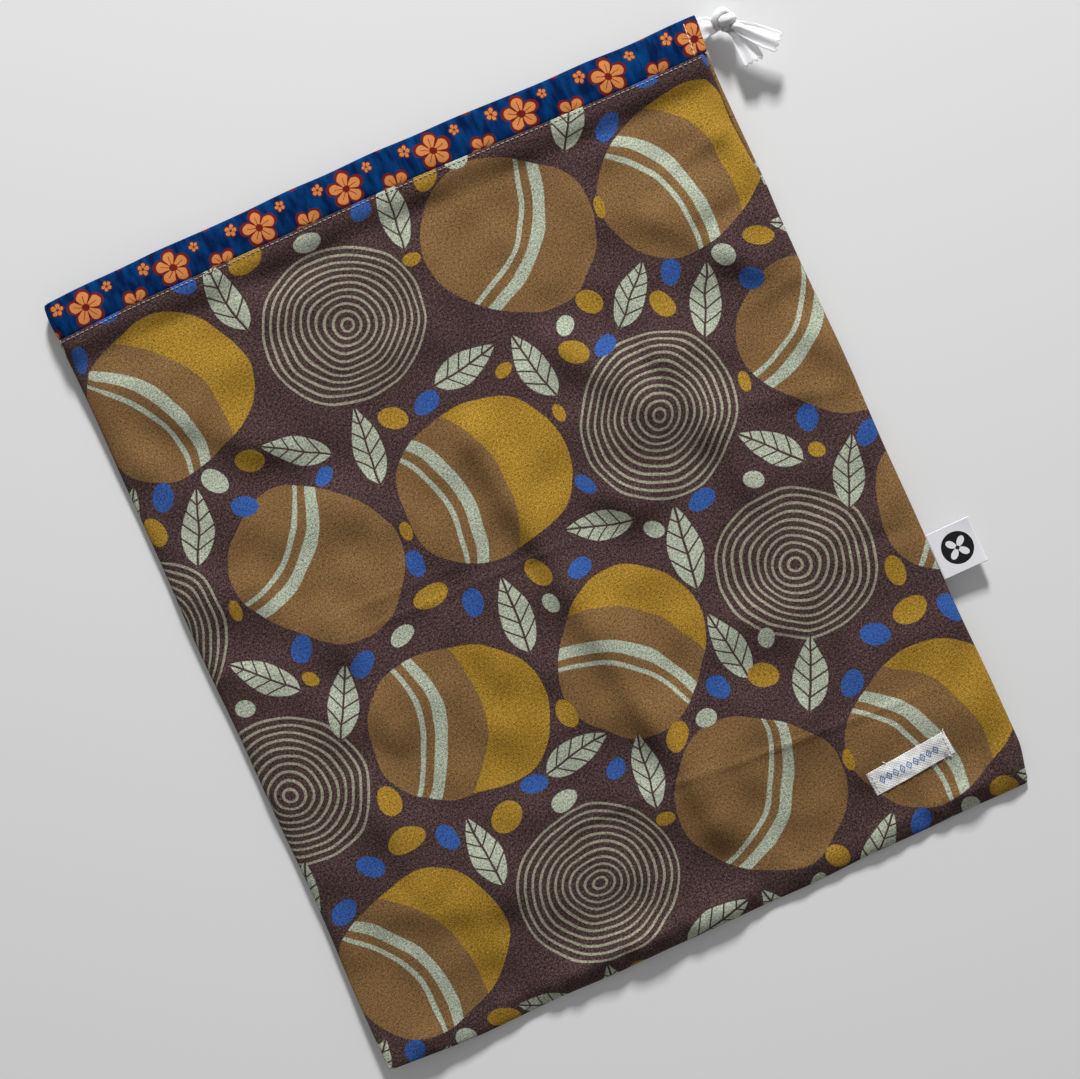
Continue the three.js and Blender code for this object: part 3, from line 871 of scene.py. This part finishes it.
# %% How high the cloth lies
FRONT_TOP = 7.4
LEFT_SEAM, RIGHT_SEAM, BOTTOM_SEAM = 2.6, 4.6, 1.3
BACK_CLEARANCE = 0.5
MOUTH_REACH = 60.0
MOUTH_TOP = 10.0
HEM_LEVEL, BELOW_HEM = 3.0, 15.0
CORNER_LIFT = 4.5
HEM_LIFT = 1.8


def off_table(x, y):
    """How far the soft bottom left corner, and the seam left of the middle, stand off the table."""
    corner = ramp(x + half_width, 75, 0) * ramp(y - bottom, 70, 0)
    return CORNER_LIFT * corner + HEM_LIFT * hump(x + 15, 32) * ramp(y - bottom, 40, 0)


def cloth_heights(x, y):
    """Heights of the seam line, the front cloth and the back cloth over the table."""
    near_left = ramp(x + half_width, 60, 0)
    near_bottom = ramp(y - bottom, 70, 0)
    near_mouth = ramp(mouth - y, MOUTH_REACH, 0)
    seam = LEFT_SEAM + (RIGHT_SEAM - LEFT_SEAM) * ramp(x, -half_width, half_width)
    seam = seam + (BOTTOM_SEAM - seam) * near_bottom
    seam = seam + (seam_level - seam) * near_mouth
    top = FRONT_TOP - 1.0 * near_left - 2.8 * near_bottom
    top = MOUTH_TOP + (top - MOUTH_TOP) * ramp(mouth - y, HEM_LEVEL, BELOW_HEM)
    lifted = off_table(x, y)
    return seam + lifted, top + lifted, BACK_CLEARANCE * near_mouth + lifted


# %% Grid of a panel
EDGE_ROLL, MOUTH_ROLL, BOTTOM_ROLL = 12.0, 5.0, 8.0
HEM_RADIUS, HEM_DEPTH = 0.5, 8.0
ROLL_COLUMNS = 13
SEAM_DIP = 0.7


def seam_angles(y):
    """Where the side seams lie on the rolled edges, in radians above the edge, left and right."""
    off_corner = ramp(y - bottom, 6, 46)
    right = math.radians(6) * off_corner + math.radians(30) * ramp(mouth - y, 75, 30)
    return -math.radians(15) * off_corner, right


def panel_rows(flat_rows):
    """Height up the bag, roll of the bottom edge and depth inside the hem, for each row."""
    roll = np.linspace(0, math.pi / 2, 9)
    flat = np.linspace(bottom + BOTTOM_ROLL, mouth - HEM_RADIUS, flat_rows + 1)[1:]
    fold = np.linspace(0, math.pi, 7)[1:]
    inside = np.linspace(mouth - HEM_RADIUS, mouth - HEM_DEPTH, 5)[1:]
    fold_y = mouth - HEM_RADIUS + HEM_RADIUS * np.sin(fold)
    y = np.concatenate([bottom + BOTTOM_ROLL * (1 - np.cos(roll)), flat, fold_y, inside])
    lift = np.concatenate([np.sin(roll), np.ones(len(y) - len(roll))])
    fold_depth = HEM_RADIUS * (1 - np.cos(fold))
    depth = np.concatenate([np.zeros(len(roll) + len(flat)), fold_depth, np.full(4, 2 * HEM_RADIUS)])
    return y[:, None], lift[:, None], depth[:, None]


def panel_points(side, flat_rows, flat_columns):
    """The outer face of the front panel (side 1) or the back panel (side -1)."""
    y, lift, depth = panel_rows(flat_rows)
    left_seam, right_seam = seam_angles(y)
    ease = np.linspace(0, 1, ROLL_COLUMNS)[None, :] ** 0.8
    quarter = side * math.pi / 2
    left = left_seam + (quarter - left_seam) * ease
    right = right_seam + (quarter - right_seam) * ease
    flat = np.full((len(y), flat_columns - 1), quarter)
    angle = np.concatenate([left, flat, right[:, ::-1]], 1)
    edge = np.repeat([-1.0, 0.0, 1.0], [ROLL_COLUMNS, flat_columns - 1, ROLL_COLUMNS])[None, :]
    inner = np.linspace(-1, 1, flat_columns + 1)[1:-1]
    share = np.concatenate([np.full(ROLL_COLUMNS, -1.0), inner, np.full(ROLL_COLUMNS, 1.0)])[None, :]
    roll = EDGE_ROLL + (MOUTH_ROLL - EDGE_ROLL) * ramp(mouth - y, MOUTH_REACH, 0)
    from_seam = np.minimum(np.abs(angle - left_seam), np.abs(angle - right_seam)) * roll * 0.6
    inward = depth + SEAM_DIP * hump(from_seam, 1.1) * (edge > 0)
    x = share * (half_width - roll) + edge * (roll - inward) * np.cos(angle)
    seam, top, under = cloth_heights(x, y)
    reach = np.where(angle > 0, top - seam, seam - under)
    z = seam + (reach * lift - inward) * np.sin(angle)
    return x, np.broadcast_to(y, x.shape), z, np.sin(angle) * lift


# %% Outline of the bag
CORNER_RADIUS = 2.5
CORNER_PULL = 3.0
BOW_REACH = 130.0


def set_outline(x, y):
    """Rounds the bottom corners, bows the edges and lets them wander as sewn edges do."""
    beyond_x = np.maximum(np.abs(x) - (half_width - CORNER_RADIUS), 0)
    beyond_y = np.maximum(bottom + CORNER_RADIUS - y, 0)
    reach = np.hypot(beyond_x, beyond_y)
    pull = np.where(reach > 0, np.maximum(beyond_x, beyond_y) / np.maximum(reach, 1e-9), 1.0)
    x = np.sign(x) * (np.abs(x) - beyond_x * (1 - pull))
    y = y + beyond_y * (1 - pull)
    wander = 0.35 * np.sin(y / 31 + 1.0) + 0.2 * np.sin(y / 12.5)
    x = x - CORNER_PULL * ramp(y - bottom, 19, 0) * ramp(x, half_width - 50, half_width)
    x = x * (1 + (wander - 0.2) / half_width)
    y = y + np.exp(-(y - bottom) / 15) * (0.35 + 0.3 * np.sin(x / 9.5) * np.sin(x / 37))
    low, high = ramp(y - bottom, BOW_REACH, 0), ramp(mouth - y, BOW_REACH, 0)
    return x, y + mouth_bow(x) * high - bottom_bow(x) * low


# %% Sew the panels
FRONT_CLEARANCE = 0.8
CANVAS_CLOTH = 0.45


def sew_panel(name, side, flat_rows, flat_columns):
    """One panel and the size it was cut to."""
    x, y, z, lift = panel_points(side, flat_rows, flat_columns)
    if side > 0:
        seam, top, _ = cloth_heights(x, y)
        room = top - seam - FRONT_CLEARANCE
        relief = front_relief(x, y)
        relief = np.where(relief < 0, room * np.tanh(relief / room), relief)
        z = z + relief * np.clip(lift, 0, 1)
    points = np.stack([*set_outline(x, y), z], -1) * MM
    across = travelled(points[points.shape[0] // 2])
    up = travelled(points[:, points.shape[1] // 2])
    cloth = cloth_map(across[None, :] * side, up[:, None])
    panel = new_sheet(name, points, cloth, canvas, CANVAS_CLOTH, flip=side < 0)
    print(name, "cut to", in_mm((across[-1], up[-1])), "mm")
    return panel, (across[-1], up[-1])


front_panel, front_cut = sew_panel("front_panel_cloth", 1, 270, 141)
back_panel, back_cut = sew_panel("back_panel_cloth", -1, 84, 80)

# %% [markdown]
# ## Casing cloth
# The casing is a finer cotton, deep blue with streaks in its dye and small orange blossoms outlined
# in dark red. A blossom is a five-lobed outline in its own node group, repeated along the strip in
# two staggered rows, so that some are cut by the fold and the seam as they are on a narrow strip.

# %% Blossom motif
CASING_BLUE, CASING_DEEP = dye("#053f78"), dye("#041a42")
BLOSSOM_DYES = {"Petal": dye("#cb8249"), "Outline": dye("#6d1d1b")}
BLOSSOM_REPEAT = (40.0, 23.0)
HALF_PETALS = 2.5
blossoms = [(10, 16.3, 17, 16, 20), (30, 8.6, 15, 14, -10), (21.5, 20.6, 6, 6, 40), (38.5, 20.8, 5, 5, 5)]


def blossom_group():
    tree, given, result = motif_group("five_petal_blossom", [], ["Petal", "Outline"])
    along, across, within = own_axes(given, BLOSSOM_REPEAT)
    reach = 1.0 - ellipse_inside(within)
    turn = across.math("ARCTAN2", along) * HALF_PETALS
    lobe = abs(turn.math("COSINE"))
    inside = lobe ** 0.6 * 0.45 + 0.55 - reach
    vein = (reach * abs(turn.math("SINE")) - 0.045).math("MAXIMUM", reach - 0.62)
    slit = lobe - (reach * 0.25 + 0.18)
    petal = inked(inside - 0.16, given) * inked(vein, given) * inked(slit, given)
    flower = lay_over(petal, given["Outline"], given["Petal"])
    flower = lay_over(inked(0.2 - reach, given), flower, given["Outline"])
    feed(result, lay_over(inked(inside, given), given["Under"], flower))
    return tree


blossom_motif = blossom_group()
print("motif", blossom_motif.name, "of", len(blossom_motif.nodes), "nodes")

# %% Casing finish
CASING_YARN = 0.32
CASING_DEPTH = 0.1


def casing_finish():
    material, tree, shader = new_finish("casing_cotton", {"Specular IOR Level": 0.03})
    place = cloth_place(tree)
    drawn = hand_drawn(place, 1.6, 6)
    streaks = (grain(place, 260.0, 90.0, 4.0) * 3.2 - 1.25).held()
    colour = lay_over(streaks, CASING_DEEP, CASING_BLUE)
    for blossom in blossoms:
        colour = stamp(blossom_motif, drawn, colour, spot(*blossom), **BLOSSOM_DYES)
    fuzz = grain(place, CANVAS_FUZZ, CANVAS_FUZZ, 3.0)
    feed(shader["Base Color"], lay_over(1.0, colour, fuzz * 0.7 + 0.65, "MULTIPLY"))
    feed(shader["Roughness"], fuzz * 0.25 + 0.65)
    raise_weave(shader, woven_height(place, CASING_YARN), CASING_DEPTH, 0.5)
    return material


casing_cotton = casing_finish()
print("finish", casing_cotton.name)

# %% [markdown]
# ## The casing
# One strip, folded double over the tape and sewn under the panels' top edge. It runs along the front,
# turns round the far side of the mouth and comes back along the rear, with its two ends hemmed inside.
# The grid sweeps the strip's section along that hairpin; the ends are the same section, drawn in a
# little and turned back.

# %% Stations and section of the strip
CASING_HEIGHT = casing_top - mouth
CASING_ALLOWANCE = mouth - casing_low.y / MM
CASING_HEM = 5.5
CASING_END = casing_high.x / MM - 0.6
BEND_X = -145.0
TUBE_HALF = 1.3
ROOT_HALF = 0.32
HEM_TUCK = 0.45


def casing_stations():
    """Place along x, turn of the hairpin and depth of the end hem, for each row."""
    leg = np.linspace(CASING_END, BEND_X, 150)
    turn = np.linspace(0, math.pi, 12)[1:-1]
    hem = CASING_END - np.array([CASING_HEM, CASING_HEM / 2, 1.2, 0.3])
    x = np.concatenate([hem, leg, np.full(len(turn), BEND_X), leg[::-1], hem[::-1]])
    angle = np.concatenate([np.zeros(4 + len(leg)), turn, np.full(len(leg) + 4, math.pi)])
    tuck = np.concatenate([np.full(4, HEM_TUCK), np.zeros(len(x) - 8), np.full(4, HEM_TUCK)])
    return x[:, None], angle[:, None], tuck[:, None]


def casing_section():
    """Height above the seam and offset from the strip's middle, from allowance to allowance."""
    allowance = np.linspace(-CASING_ALLOWANCE, -0.5, 5)
    wall = np.linspace(0, math.pi, 17)[1:]
    height = CASING_HEIGHT / 2 * (1 - np.cos(wall))
    offset = np.maximum(TUBE_HALF * np.sin(wall) ** 0.55, np.where(wall < 1, ROOT_HALF, 0))
    height = np.concatenate([allowance, height])
    offset = np.concatenate([np.full(5, ROOT_HALF), offset])
    height = np.concatenate([height, height[-2::-1]])
    return height[None, :], np.concatenate([offset, -offset[-2::-1]])[None, :]


# %% Sweep the strip round the mouth
CASING_CLOTH = 0.3
CASING_FLARE = 1.2
ALLOWANCE_END = CASING_END - 5.5
ALLOWANCE_DROOP = 1.6
RUN_OFFSET = RUN_Z - seam_level
TABLE_GAP = 0.45
BACK_STRIP = 400
WALL_RIPPLES, END_RIPPLES, TOP_RIPPLES = (21, 10, 9, 34, 0.16), (23, 6, 5, 11, 0.16), (25, 7, 25, 80, 0.16)


def casing_points():
    """The strip's outer face."""
    x, angle, tuck = casing_stations()
    height, offset = casing_section()
    walls, risen = ramp(height, 0, 5), ramp(height, 0, CASING_HEIGHT)
    strip = np.broadcast_to(x + BACK_STRIP * (angle > 1.6), (x.shape[0], height.shape[1]))
    ripple = cloth_waves(strip, height + 0 * strip, *WALL_RIPPLES) * walls
    near_end = np.exp(-(CASING_END - x) / 9)
    ripple = ripple + cloth_waves(strip, 2 * height + 0 * strip, *END_RIPPLES) * walls * near_end
    top = cloth_waves(strip, 0 * strip, *TOP_RIPPLES)
    drawn_in = np.sign(offset) * np.minimum(np.abs(offset), tuck)
    out = offset - drawn_in + ripple * np.sign(offset) * (np.abs(offset) > ROOT_HALF)
    up = mouth + height + (top - 0.25 - tuck) * risen
    radius = RUN_OFFSET + out - ALLOWANCE_DROOP * (np.minimum(height, 0) / CASING_ALLOWANCE) ** 2
    radius = np.where(angle > math.pi / 2, np.minimum(radius, seam_level - TABLE_GAP), radius)
    trimmed = np.maximum(x - ALLOWANCE_END, 0) * (1 - ramp(height, -1, 1))
    flare = CASING_FLARE * risen * ramp(x, CASING_END - 30, CASING_END)
    x = x - np.sin(angle) * radius - trimmed + flare
    return np.stack([x, up + mouth_bow(x), seam_level + np.cos(angle) * radius], -1) * MM


points = casing_points()
along = travelled(points[:, points.shape[1] // 2])
section = travelled(points[len(points) // 3])
casing_map = cloth_map(along[:, None], section[None, :])
casing = new_sheet("casing_cloth_strip", points, casing_map, casing_cotton, CASING_CLOTH, flip=True)

# %% [markdown]
# ## Sewing thread
# Stitches are what make a sewn edge read as sewn. Each is a short plump thread that dips into the
# cloth at both ends. A ray finds the cloth under every stitch, so the thread lies on it, whatever
# the puckers do.

# %% Thread finish
THREAD_SHADE = dye("#8f897d")
THREAD_TWIST = 2500.0
THREAD_DEPTH = 0.05


def thread_finish(name, code):
    material, tree, shader = new_finish(name, {})
    place = add_node(tree, "TexCoord", {}, "Object")
    twist = add_node(tree, "TexNoise", {"Vector": place, "Scale": THREAD_TWIST})
    feed(shader["Base Color"], lay_over((twist * 0.5).held(), dye(code), THREAD_SHADE))
    feed(shader["Roughness"], twist * 0.2 + 0.5)
    raise_weave(shader, twist, THREAD_DEPTH, 0.5)
    return material


thread_grey = thread_finish("topstitch_thread", "#a99d96")
thread_white = thread_finish("white_thread", "#eeedea")
print("finishes", thread_grey.name, "and", thread_white.name)

# %% Stitches that lie on the cloth
THREAD_RADIUS = 0.21
THREAD_SIDES = 6
THREAD_RINGS = 7
RAY_START = 0.05


def surface_of(piece):
    """A search tree over a piece's faces, for finding the cloth under a point."""
    mesh = piece.data
    return BVHTree.FromPolygons([v.co for v in mesh.vertices], [p.vertices[:] for p in mesh.polygons])


def on_cloth(surface, x, y, looking):
    """The outer cloth at a place, seen from above (looking -1) or from below (looking 1)."""
    start = Vector((x * MM, y * MM, -looking * RAY_START))
    hit = surface.ray_cast(start, Vector((0, 0, looking)))[0]
    return np.array(hit) / MM if hit else None


def thread_mesh(stitches):
    """Points and faces of many stitches, each given by its two ends and the way it stands up."""
    points, faces = [], []
    share = np.linspace(0, 1, THREAD_RINGS)
    around = np.linspace(0, 2 * math.pi, THREAD_SIDES, endpoint=False)
    for start, end, up in stitches:
        along = unit(end - start)
        up = unit(up - along * np.dot(up, along))
        middle = start + (end - start) * share[:, None]
        middle = middle + up * (THREAD_RADIUS * (1.5 * np.sin(math.pi * share) - 0.7))[:, None]
        radius = THREAD_RADIUS * np.where((share > 0) & (share < 1), 1.0, 0.45)
        ring = np.cos(around)[:, None] * np.cross(along, up) + np.sin(around)[:, None] * up
        first = len(points) * THREAD_RINGS * THREAD_SIDES
        points.append((middle[:, None] + radius[:, None, None] * ring[None]).reshape(-1, 3))
        faces += [[first + k for k in face] for face in grid_faces(THREAD_RINGS, THREAD_SIDES, ring=True)]
        last = first + (THREAD_RINGS - 1) * THREAD_SIDES
        faces.append([first + k for k in range(THREAD_SIDES)])
        faces.append([last + k for k in reversed(range(THREAD_SIDES))])
    return np.vstack(points) * MM, faces


def stitch_line(surface, start, end, looking, pitch, length, bowed=0.0):
    """Stitches in a row over the cloth between two places, bowed with the mouth where that is 1."""
    start, end = np.array(start, float), np.array(end, float)
    count = int(np.linalg.norm(end - start) // pitch)
    step = (end - start) / np.linalg.norm(end - start)
    rows = []
    for k in range(count):
        first = start + step * (k * pitch)
        places = [(x, y + bowed * mouth_bow(x)) for x, y in (first, first + step * length)]
        ends = [on_cloth(surface, *place, looking) for place in places]
        if ends[0] is not None and ends[1] is not None:
            rows.append((ends[0], ends[1], np.array([0.0, 0.0, -looking])))
    return rows


def sewn_row(name, stitches, thread):
    """All the stitches of a seam as one piece."""
    print(name, "of", len(stitches), "stitches")
    return new_piece(name, *thread_mesh(stitches), thread)


# %% Topstitching below the mouth and hem stitches on the casing
TOPSTITCH = {"pitch": 2.2, "length": 1.65, "bowed": 1.0}
TOPSTITCH_BELOW = 1.2
HEM_STITCH = {"pitch": 2.4, "length": 2.25}
front_surface = surface_of(front_panel)
stitch_y = mouth - TOPSTITCH_BELOW
stitch_end = half_width - 1.8
seam_ends = (-stitch_end, stitch_y), (stitch_end, stitch_y)
top_rows = stitch_line(front_surface, *seam_ends, -1, **TOPSTITCH)
top_rows += stitch_line(surface_of(back_panel), *seam_ends, 1, **TOPSTITCH)
topstitch = sewn_row("topstitching", top_rows, thread_grey)

hem_x = CASING_END - CASING_HEM
hem_ends = (hem_x, mouth + 0.6), (hem_x + 1.2, casing_top - 0.6)
casing_surface = surface_of(casing)
hem_rows = []
for looking in (-1, 1):
    hem_rows += stitch_line(casing_surface, *hem_ends, looking, **HEM_STITCH)
hem_stitch = sewn_row("casing_hem_stitches", hem_rows, thread_white)

# %% [markdown]
# ## Labels
# A folded loop of ribbon is caught in the right-hand seam, and a small flat label is sewn to the front
# by its two ends. Both are dense, slightly shiny weaves. The ribbon carries a woven flower and the
# front label a row of small woven diamonds.

# %% Woven motifs of the labels
FLOWER_CENTRE = (10.2, 10.6)
FLOWER_GROUND, PETAL_REACH, FLOWER_HEART = 7.0, 5.4, 0.9
DIAMOND_ROW = (18.5, 5.25)
DIAMOND_PITCH = 1.6
DIAMOND_SIZE, DIAMOND_LINE, DIAMOND_HEART = 1.15, 0.3, 0.42
DIAMONDS_REACH = 14.4


def woven_flower(across, along):
    """A round spot on the label's face, with a four-petalled flower left white in it."""
    beside, beyond = across - FLOWER_CENTRE[0], along - FLOWER_CENTRE[1]
    radius = (beside * beside + beyond * beyond).math("SQRT")
    reach = abs((beyond.math("ARCTAN2", beside) * 2.0).math("SINE")) * PETAL_REACH
    petals = radius.math("LESS_THAN", reach) * radius.math("GREATER_THAN", FLOWER_HEART)
    return radius.math("LESS_THAN", FLOWER_GROUND) - petals


def woven_diamonds(across, along):
    """A row of small diamonds down the middle of the label."""
    beside = across - DIAMOND_ROW[0]
    reach = beside.math("PINGPONG", DIAMOND_PITCH) + abs(along - DIAMOND_ROW[1]) * 0.7
    shell = abs(reach - DIAMOND_SIZE).math("LESS_THAN", DIAMOND_LINE)
    drawn = shell.math("MAXIMUM", reach.math("LESS_THAN", DIAMOND_HEART))
    return drawn * abs(beside).math("LESS_THAN", DIAMONDS_REACH)


# %% Ribbon finish
WORN_RIBBON = dye("#bdbab4")


def ribbon_finish(name, ground, ink, motif, yarn, depth):
    """A woven ribbon with a motif in a second colour."""
    material, tree, shader = new_finish(name, {"Specular IOR Level": 0.2})
    place = cloth_place(tree)
    amount = motif(*two_ways(stretched(place, 1 / MM, 1 / MM)))
    fuzz = grain(place, 2600.0, 900.0, 3.0)
    colour = lay_over((fuzz * 0.36 - 0.06).held(), dye(ground), WORN_RIBBON)
    feed(shader["Base Color"], lay_over(amount, colour, dye(ink)))
    feed(shader["Roughness"], fuzz * 0.3 + 0.45)
    raise_weave(shader, woven_height(place, yarn), depth, 0.6)
    return material


side_ribbon = ribbon_finish("side_label_ribbon", "#dfdee3", "#0c0b0d", woven_flower, 0.4, 0.1)
label_weave = ribbon_finish("front_label_weave", "#fbfbfa", "#6c8cc0", woven_diamonds, 0.7, 0.24)
print("finishes", side_ribbon.name, "and", label_weave.name)

# %% Side label loop
label_low, label_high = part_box("side_label")
RIBBON_CLOTH = 0.3
SEAM_TUCK = 1.2
LOOP_ROWS = 22
LOOP_COLUMNS = 13


def side_label_points():
    """The loop's outer face: out along the top, round its fold and back underneath."""
    reach, start = label_high.x / MM, half_width - SEAM_TUCK
    loop = (label_high.z - label_low.z) / MM / 2
    middle = (label_high.z + label_low.z) / MM / 2
    out = np.linspace(start, reach - loop, LOOP_ROWS)
    fold = np.linspace(math.pi / 2, -math.pi / 2, 9)[1:-1]
    x = np.concatenate([out, reach - loop + loop * np.cos(fold), out[::-1]])
    layer = np.concatenate([np.full(LOOP_ROWS, 1.0), np.sin(fold), np.full(LOOP_ROWS, -1.0)])
    share = (x - start) / (reach - start)
    gap = loop * (0.55 + 0.45 * share ** 2)
    y = edge_spaced(label_low.y, label_high.y, LOOP_COLUMNS) / MM
    across = (y - y[0]) / (y[-1] - y[0])
    curl = 0.5 * share[:, None] ** 2 * (2 * across[None, :] - 1) ** 2
    z = middle + (layer * gap)[:, None] + curl - 0.15 * share[:, None]
    return np.stack(np.broadcast_arrays(x[:, None], y[None, :], z), -1) * MM


points = side_label_points()
along, across = travelled(points[:, LOOP_COLUMNS // 2]), travelled(points[0])
label_map = cloth_map(across[None, :], along[:, None])
side_label = new_sheet("side_label_loop", points, label_map, side_ribbon, RIBBON_CLOTH)

# %% Front label on the cloth
strip_low, strip_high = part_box("front_label")
label_middle = (strip_low + strip_high) / 2 / MM
LABEL_LENGTH = 37.0
LABEL_HEIGHT = 10.5
LABEL_TILT = math.radians(5)
LABEL_LIFT = 0.22
LABEL_FOLD = 4.0
LABEL_CLOTH = 0.18
LABEL_WRINKLES = (31, 10, 4, 11, 0.1)


def on_label(along, across):
    """A place on the tilted label, as x and y on the bag."""
    x = label_middle.x + along * math.cos(LABEL_TILT) - across * math.sin(LABEL_TILT)
    return x, label_middle.y + along * math.sin(LABEL_TILT) + across * math.cos(LABEL_TILT)


def front_label_points():
    """The label's upper face, following the cloth, with its two ends folded under."""
    along = np.linspace(-LABEL_LENGTH / 2, LABEL_LENGTH / 2, 41)
    across = edge_spaced(-LABEL_HEIGHT / 2, LABEL_HEIGHT / 2, 14)
    grid = np.empty((len(along), len(across), 3))
    for i, a in enumerate(along):
        for j, c in enumerate(across):
            x, y = on_label(a, c)
            bow = 0.35 * (1 - (2 * a / LABEL_LENGTH) ** 2) + 0.12 * math.sin(a / 3.1)
            edge = 0.1 * math.sin(a * 1.7) * abs(2 * c / LABEL_HEIGHT) ** 3
            grid[i, j] = (x, y, on_cloth(front_surface, x, y, -1)[2] + LABEL_LIFT + bow * 0.6 + edge)
    grid[..., 2] += cloth_waves(*np.meshgrid(along, across, indexing="ij"), *LABEL_WRINKLES)
    inward = np.array([math.cos(LABEL_TILT), math.sin(LABEL_TILT), 0.0])
    folded = ((-0.3, -0.25), (0.3, -0.5), (LABEL_FOLD, -0.5))
    start = np.array([grid[0] + inward * a + np.array([0, 0, h]) for a, h in folded[::-1]])
    end = np.array([grid[-1] - inward * a + np.array([0, 0, h]) for a, h in folded])
    return np.concatenate([start, grid, end]) * MM


points = front_label_points()
along, across = travelled(points[:, 6]) - LABEL_FOLD * MM, travelled(points[20])
label_map = cloth_map(along[:, None], across[None, :])
front_label = new_sheet("front_label_strip", points, label_map, label_weave, LABEL_CLOTH, flip=True)

# %% Stitches that hold the front label
LABEL_STITCH = {"pitch": 2.2, "length": 1.7}
label_surface = surface_of(front_label)
stitch_from_end, stitch_from_side = LABEL_LENGTH / 2 - 1.4, LABEL_HEIGHT / 2 - 0.7
label_rows = []
for end in (-1, 1):
    places = [on_label(end * stitch_from_end, side * stitch_from_side) for side in (-1, 1)]
    label_rows += stitch_line(label_surface, *places, -1, **LABEL_STITCH)
loose_ends = [((17.6, 4.7), (19.0, 6.6)), ((-9.0, 5.0), (-10.3, 6.7)), ((15.8, -4.8), (16.9, -6.2))]
for loose in loose_ends:
    tips = [on_cloth(front_surface, *on_label(*tip), -1) + THREAD_RADIUS * np.array(UP) for tip in loose]
    label_rows.append((*tips, np.array(UP)))
label_stitch = sewn_row("front_label_stitches", label_rows, thread_white)

# %% [markdown]
# ## Table and light
# The bag lies on a plain pale surface. One soft lamp stands low beyond the mouth of the bag, so that
# its light rakes over the cloth, shows every fold and throws a short shadow under the lower edges. An
# even white surround fills in, at a level where the dyes come out as they are written. Part of the
# table's paleness is a glow that only the camera sees. It rises far from the bag, where the lamp doesn't
# reach, so that the table fades into the surround in low views.

# %% Table
TABLE_SPAN = 12.0
TABLE_LEVEL = -0.0003
NEAR_GLOW, FAR_GLOW = 0.055, 0.28
GLOW_RISES_FROM, GLOW_RISES_TO = 0.5, 2.4
WHITE = (1.0, 1.0, 1.0, 1.0)
TABLE_EVEN = {
    "Base Color": dye("#d2d2d2"), "Roughness": 0.9, "Emission Color": WHITE, "Specular IOR Level": 0.1,
}


def seen_rays(tree):
    """1 for rays that show a surface to the camera, straight, in a reflection or through glass."""
    camera_ray = add_node(tree, "LightPath", {}, "Is Camera Ray")
    rays = camera_ray.socket.node.outputs
    seen = camera_ray + Wire(tree, rays["Is Glossy Ray"]) + Wire(tree, rays["Is Transmission Ray"])
    return seen.held()


table_paint, tree, shader = new_finish("pale_table", TABLE_EVEN)
place = add_node(tree, "NewGeometry", {}, "Position")
away = add_node(tree, "VectorMath", {0: place}, "Value", operation="LENGTH")
rise = {
    "Value": away, "From Min": GLOW_RISES_FROM, "From Max": GLOW_RISES_TO,
    "To Min": NEAR_GLOW, "To Max": FAR_GLOW,
}
glow = add_node(tree, "MapRange", rise, "Result", interpolation_type="SMOOTHSTEP")
feed(shader["Emission Strength"], seen_rays(tree) * glow)
table_mesh = bpy.data.meshes.new("table")
corners = [(x * TABLE_SPAN, y * TABLE_SPAN, TABLE_LEVEL) for x, y in ((-1, -1), (1, -1), (1, 1), (-1, 1))]
table_mesh.from_pydata(corners, [], [(0, 1, 2, 3)])
table_mesh.materials.append(table_paint)
place_object("table", table_mesh)
print("table", 2 * TABLE_SPAN, "m across")

# %% Lamp and surround
LAMP_FROM = Vector((0.36, 0.93, 0.0)).normalized()
LAMP_HEIGHT_ANGLE = math.radians(28)
LAMP_DISTANCE = 2.6
LAMP_WIDTH, LAMP_TALL = 0.36, 0.42
LAMP_SPREAD = math.radians(120)
LAMP_POWER = 39.8
SURROUND = 0.26
BACKDROP_PALE = 0.45

lamp_data = bpy.data.lights.new("soft_lamp", "AREA")
lamp_data.shape = "RECTANGLE"
lamp_data.size, lamp_data.size_y = LAMP_WIDTH, LAMP_TALL
lamp_data.spread = LAMP_SPREAD
lamp_data.energy = LAMP_POWER
lamp = place_object("soft_lamp", lamp_data)
lamp_way = LAMP_FROM * math.cos(LAMP_HEIGHT_ANGLE) + Vector((0, 0, math.sin(LAMP_HEIGHT_ANGLE)))
lamp.location = lamp_way * LAMP_DISTANCE
lamp.rotation_euler = lamp_way.to_track_quat("Z", "Y").to_euler()

world = bpy.data.worlds.new("surround")
world.use_nodes = True
sky = world.node_tree.nodes["Background"].inputs
sky["Color"].default_value = WHITE
feed(sky["Strength"], seen_rays(world.node_tree) * (BACKDROP_PALE - SURROUND) + SURROUND)
bpy.context.scene.world = world
print("lamp", LAMP_POWER, "W at", LAMP_DISTANCE, "m, surround", SURROUND)

# %% [markdown]
# ## What moves with what
# Pulling the drawcord draws the far end of the casing towards the knot, and the cloth below it
# follows less and less, down to the bottom seam.
# The side label turns on its seam, and the front label stays on the cloth that carries it.

# %% Ride
for cloth_piece in (front_panel, back_panel, casing, topstitch, hem_stitch):
    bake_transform(cloth_piece)
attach(front_label, "bag")
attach(label_stitch, "bag")
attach(side_label, "side_label")

# %% Hide the solids that the cloth stands for
stands_for = [
    (front_panel, "front_panel", "canvas"),
    (back_panel, "back_panel", "canvas"),
    (casing, "casing", "casing_cloth"),
    (side_label, "side_label", "ribbon"),
    (front_label, "front_label", "ribbon"),
]
for piece, node_name, slot_name in stands_for:
    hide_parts(node_name)
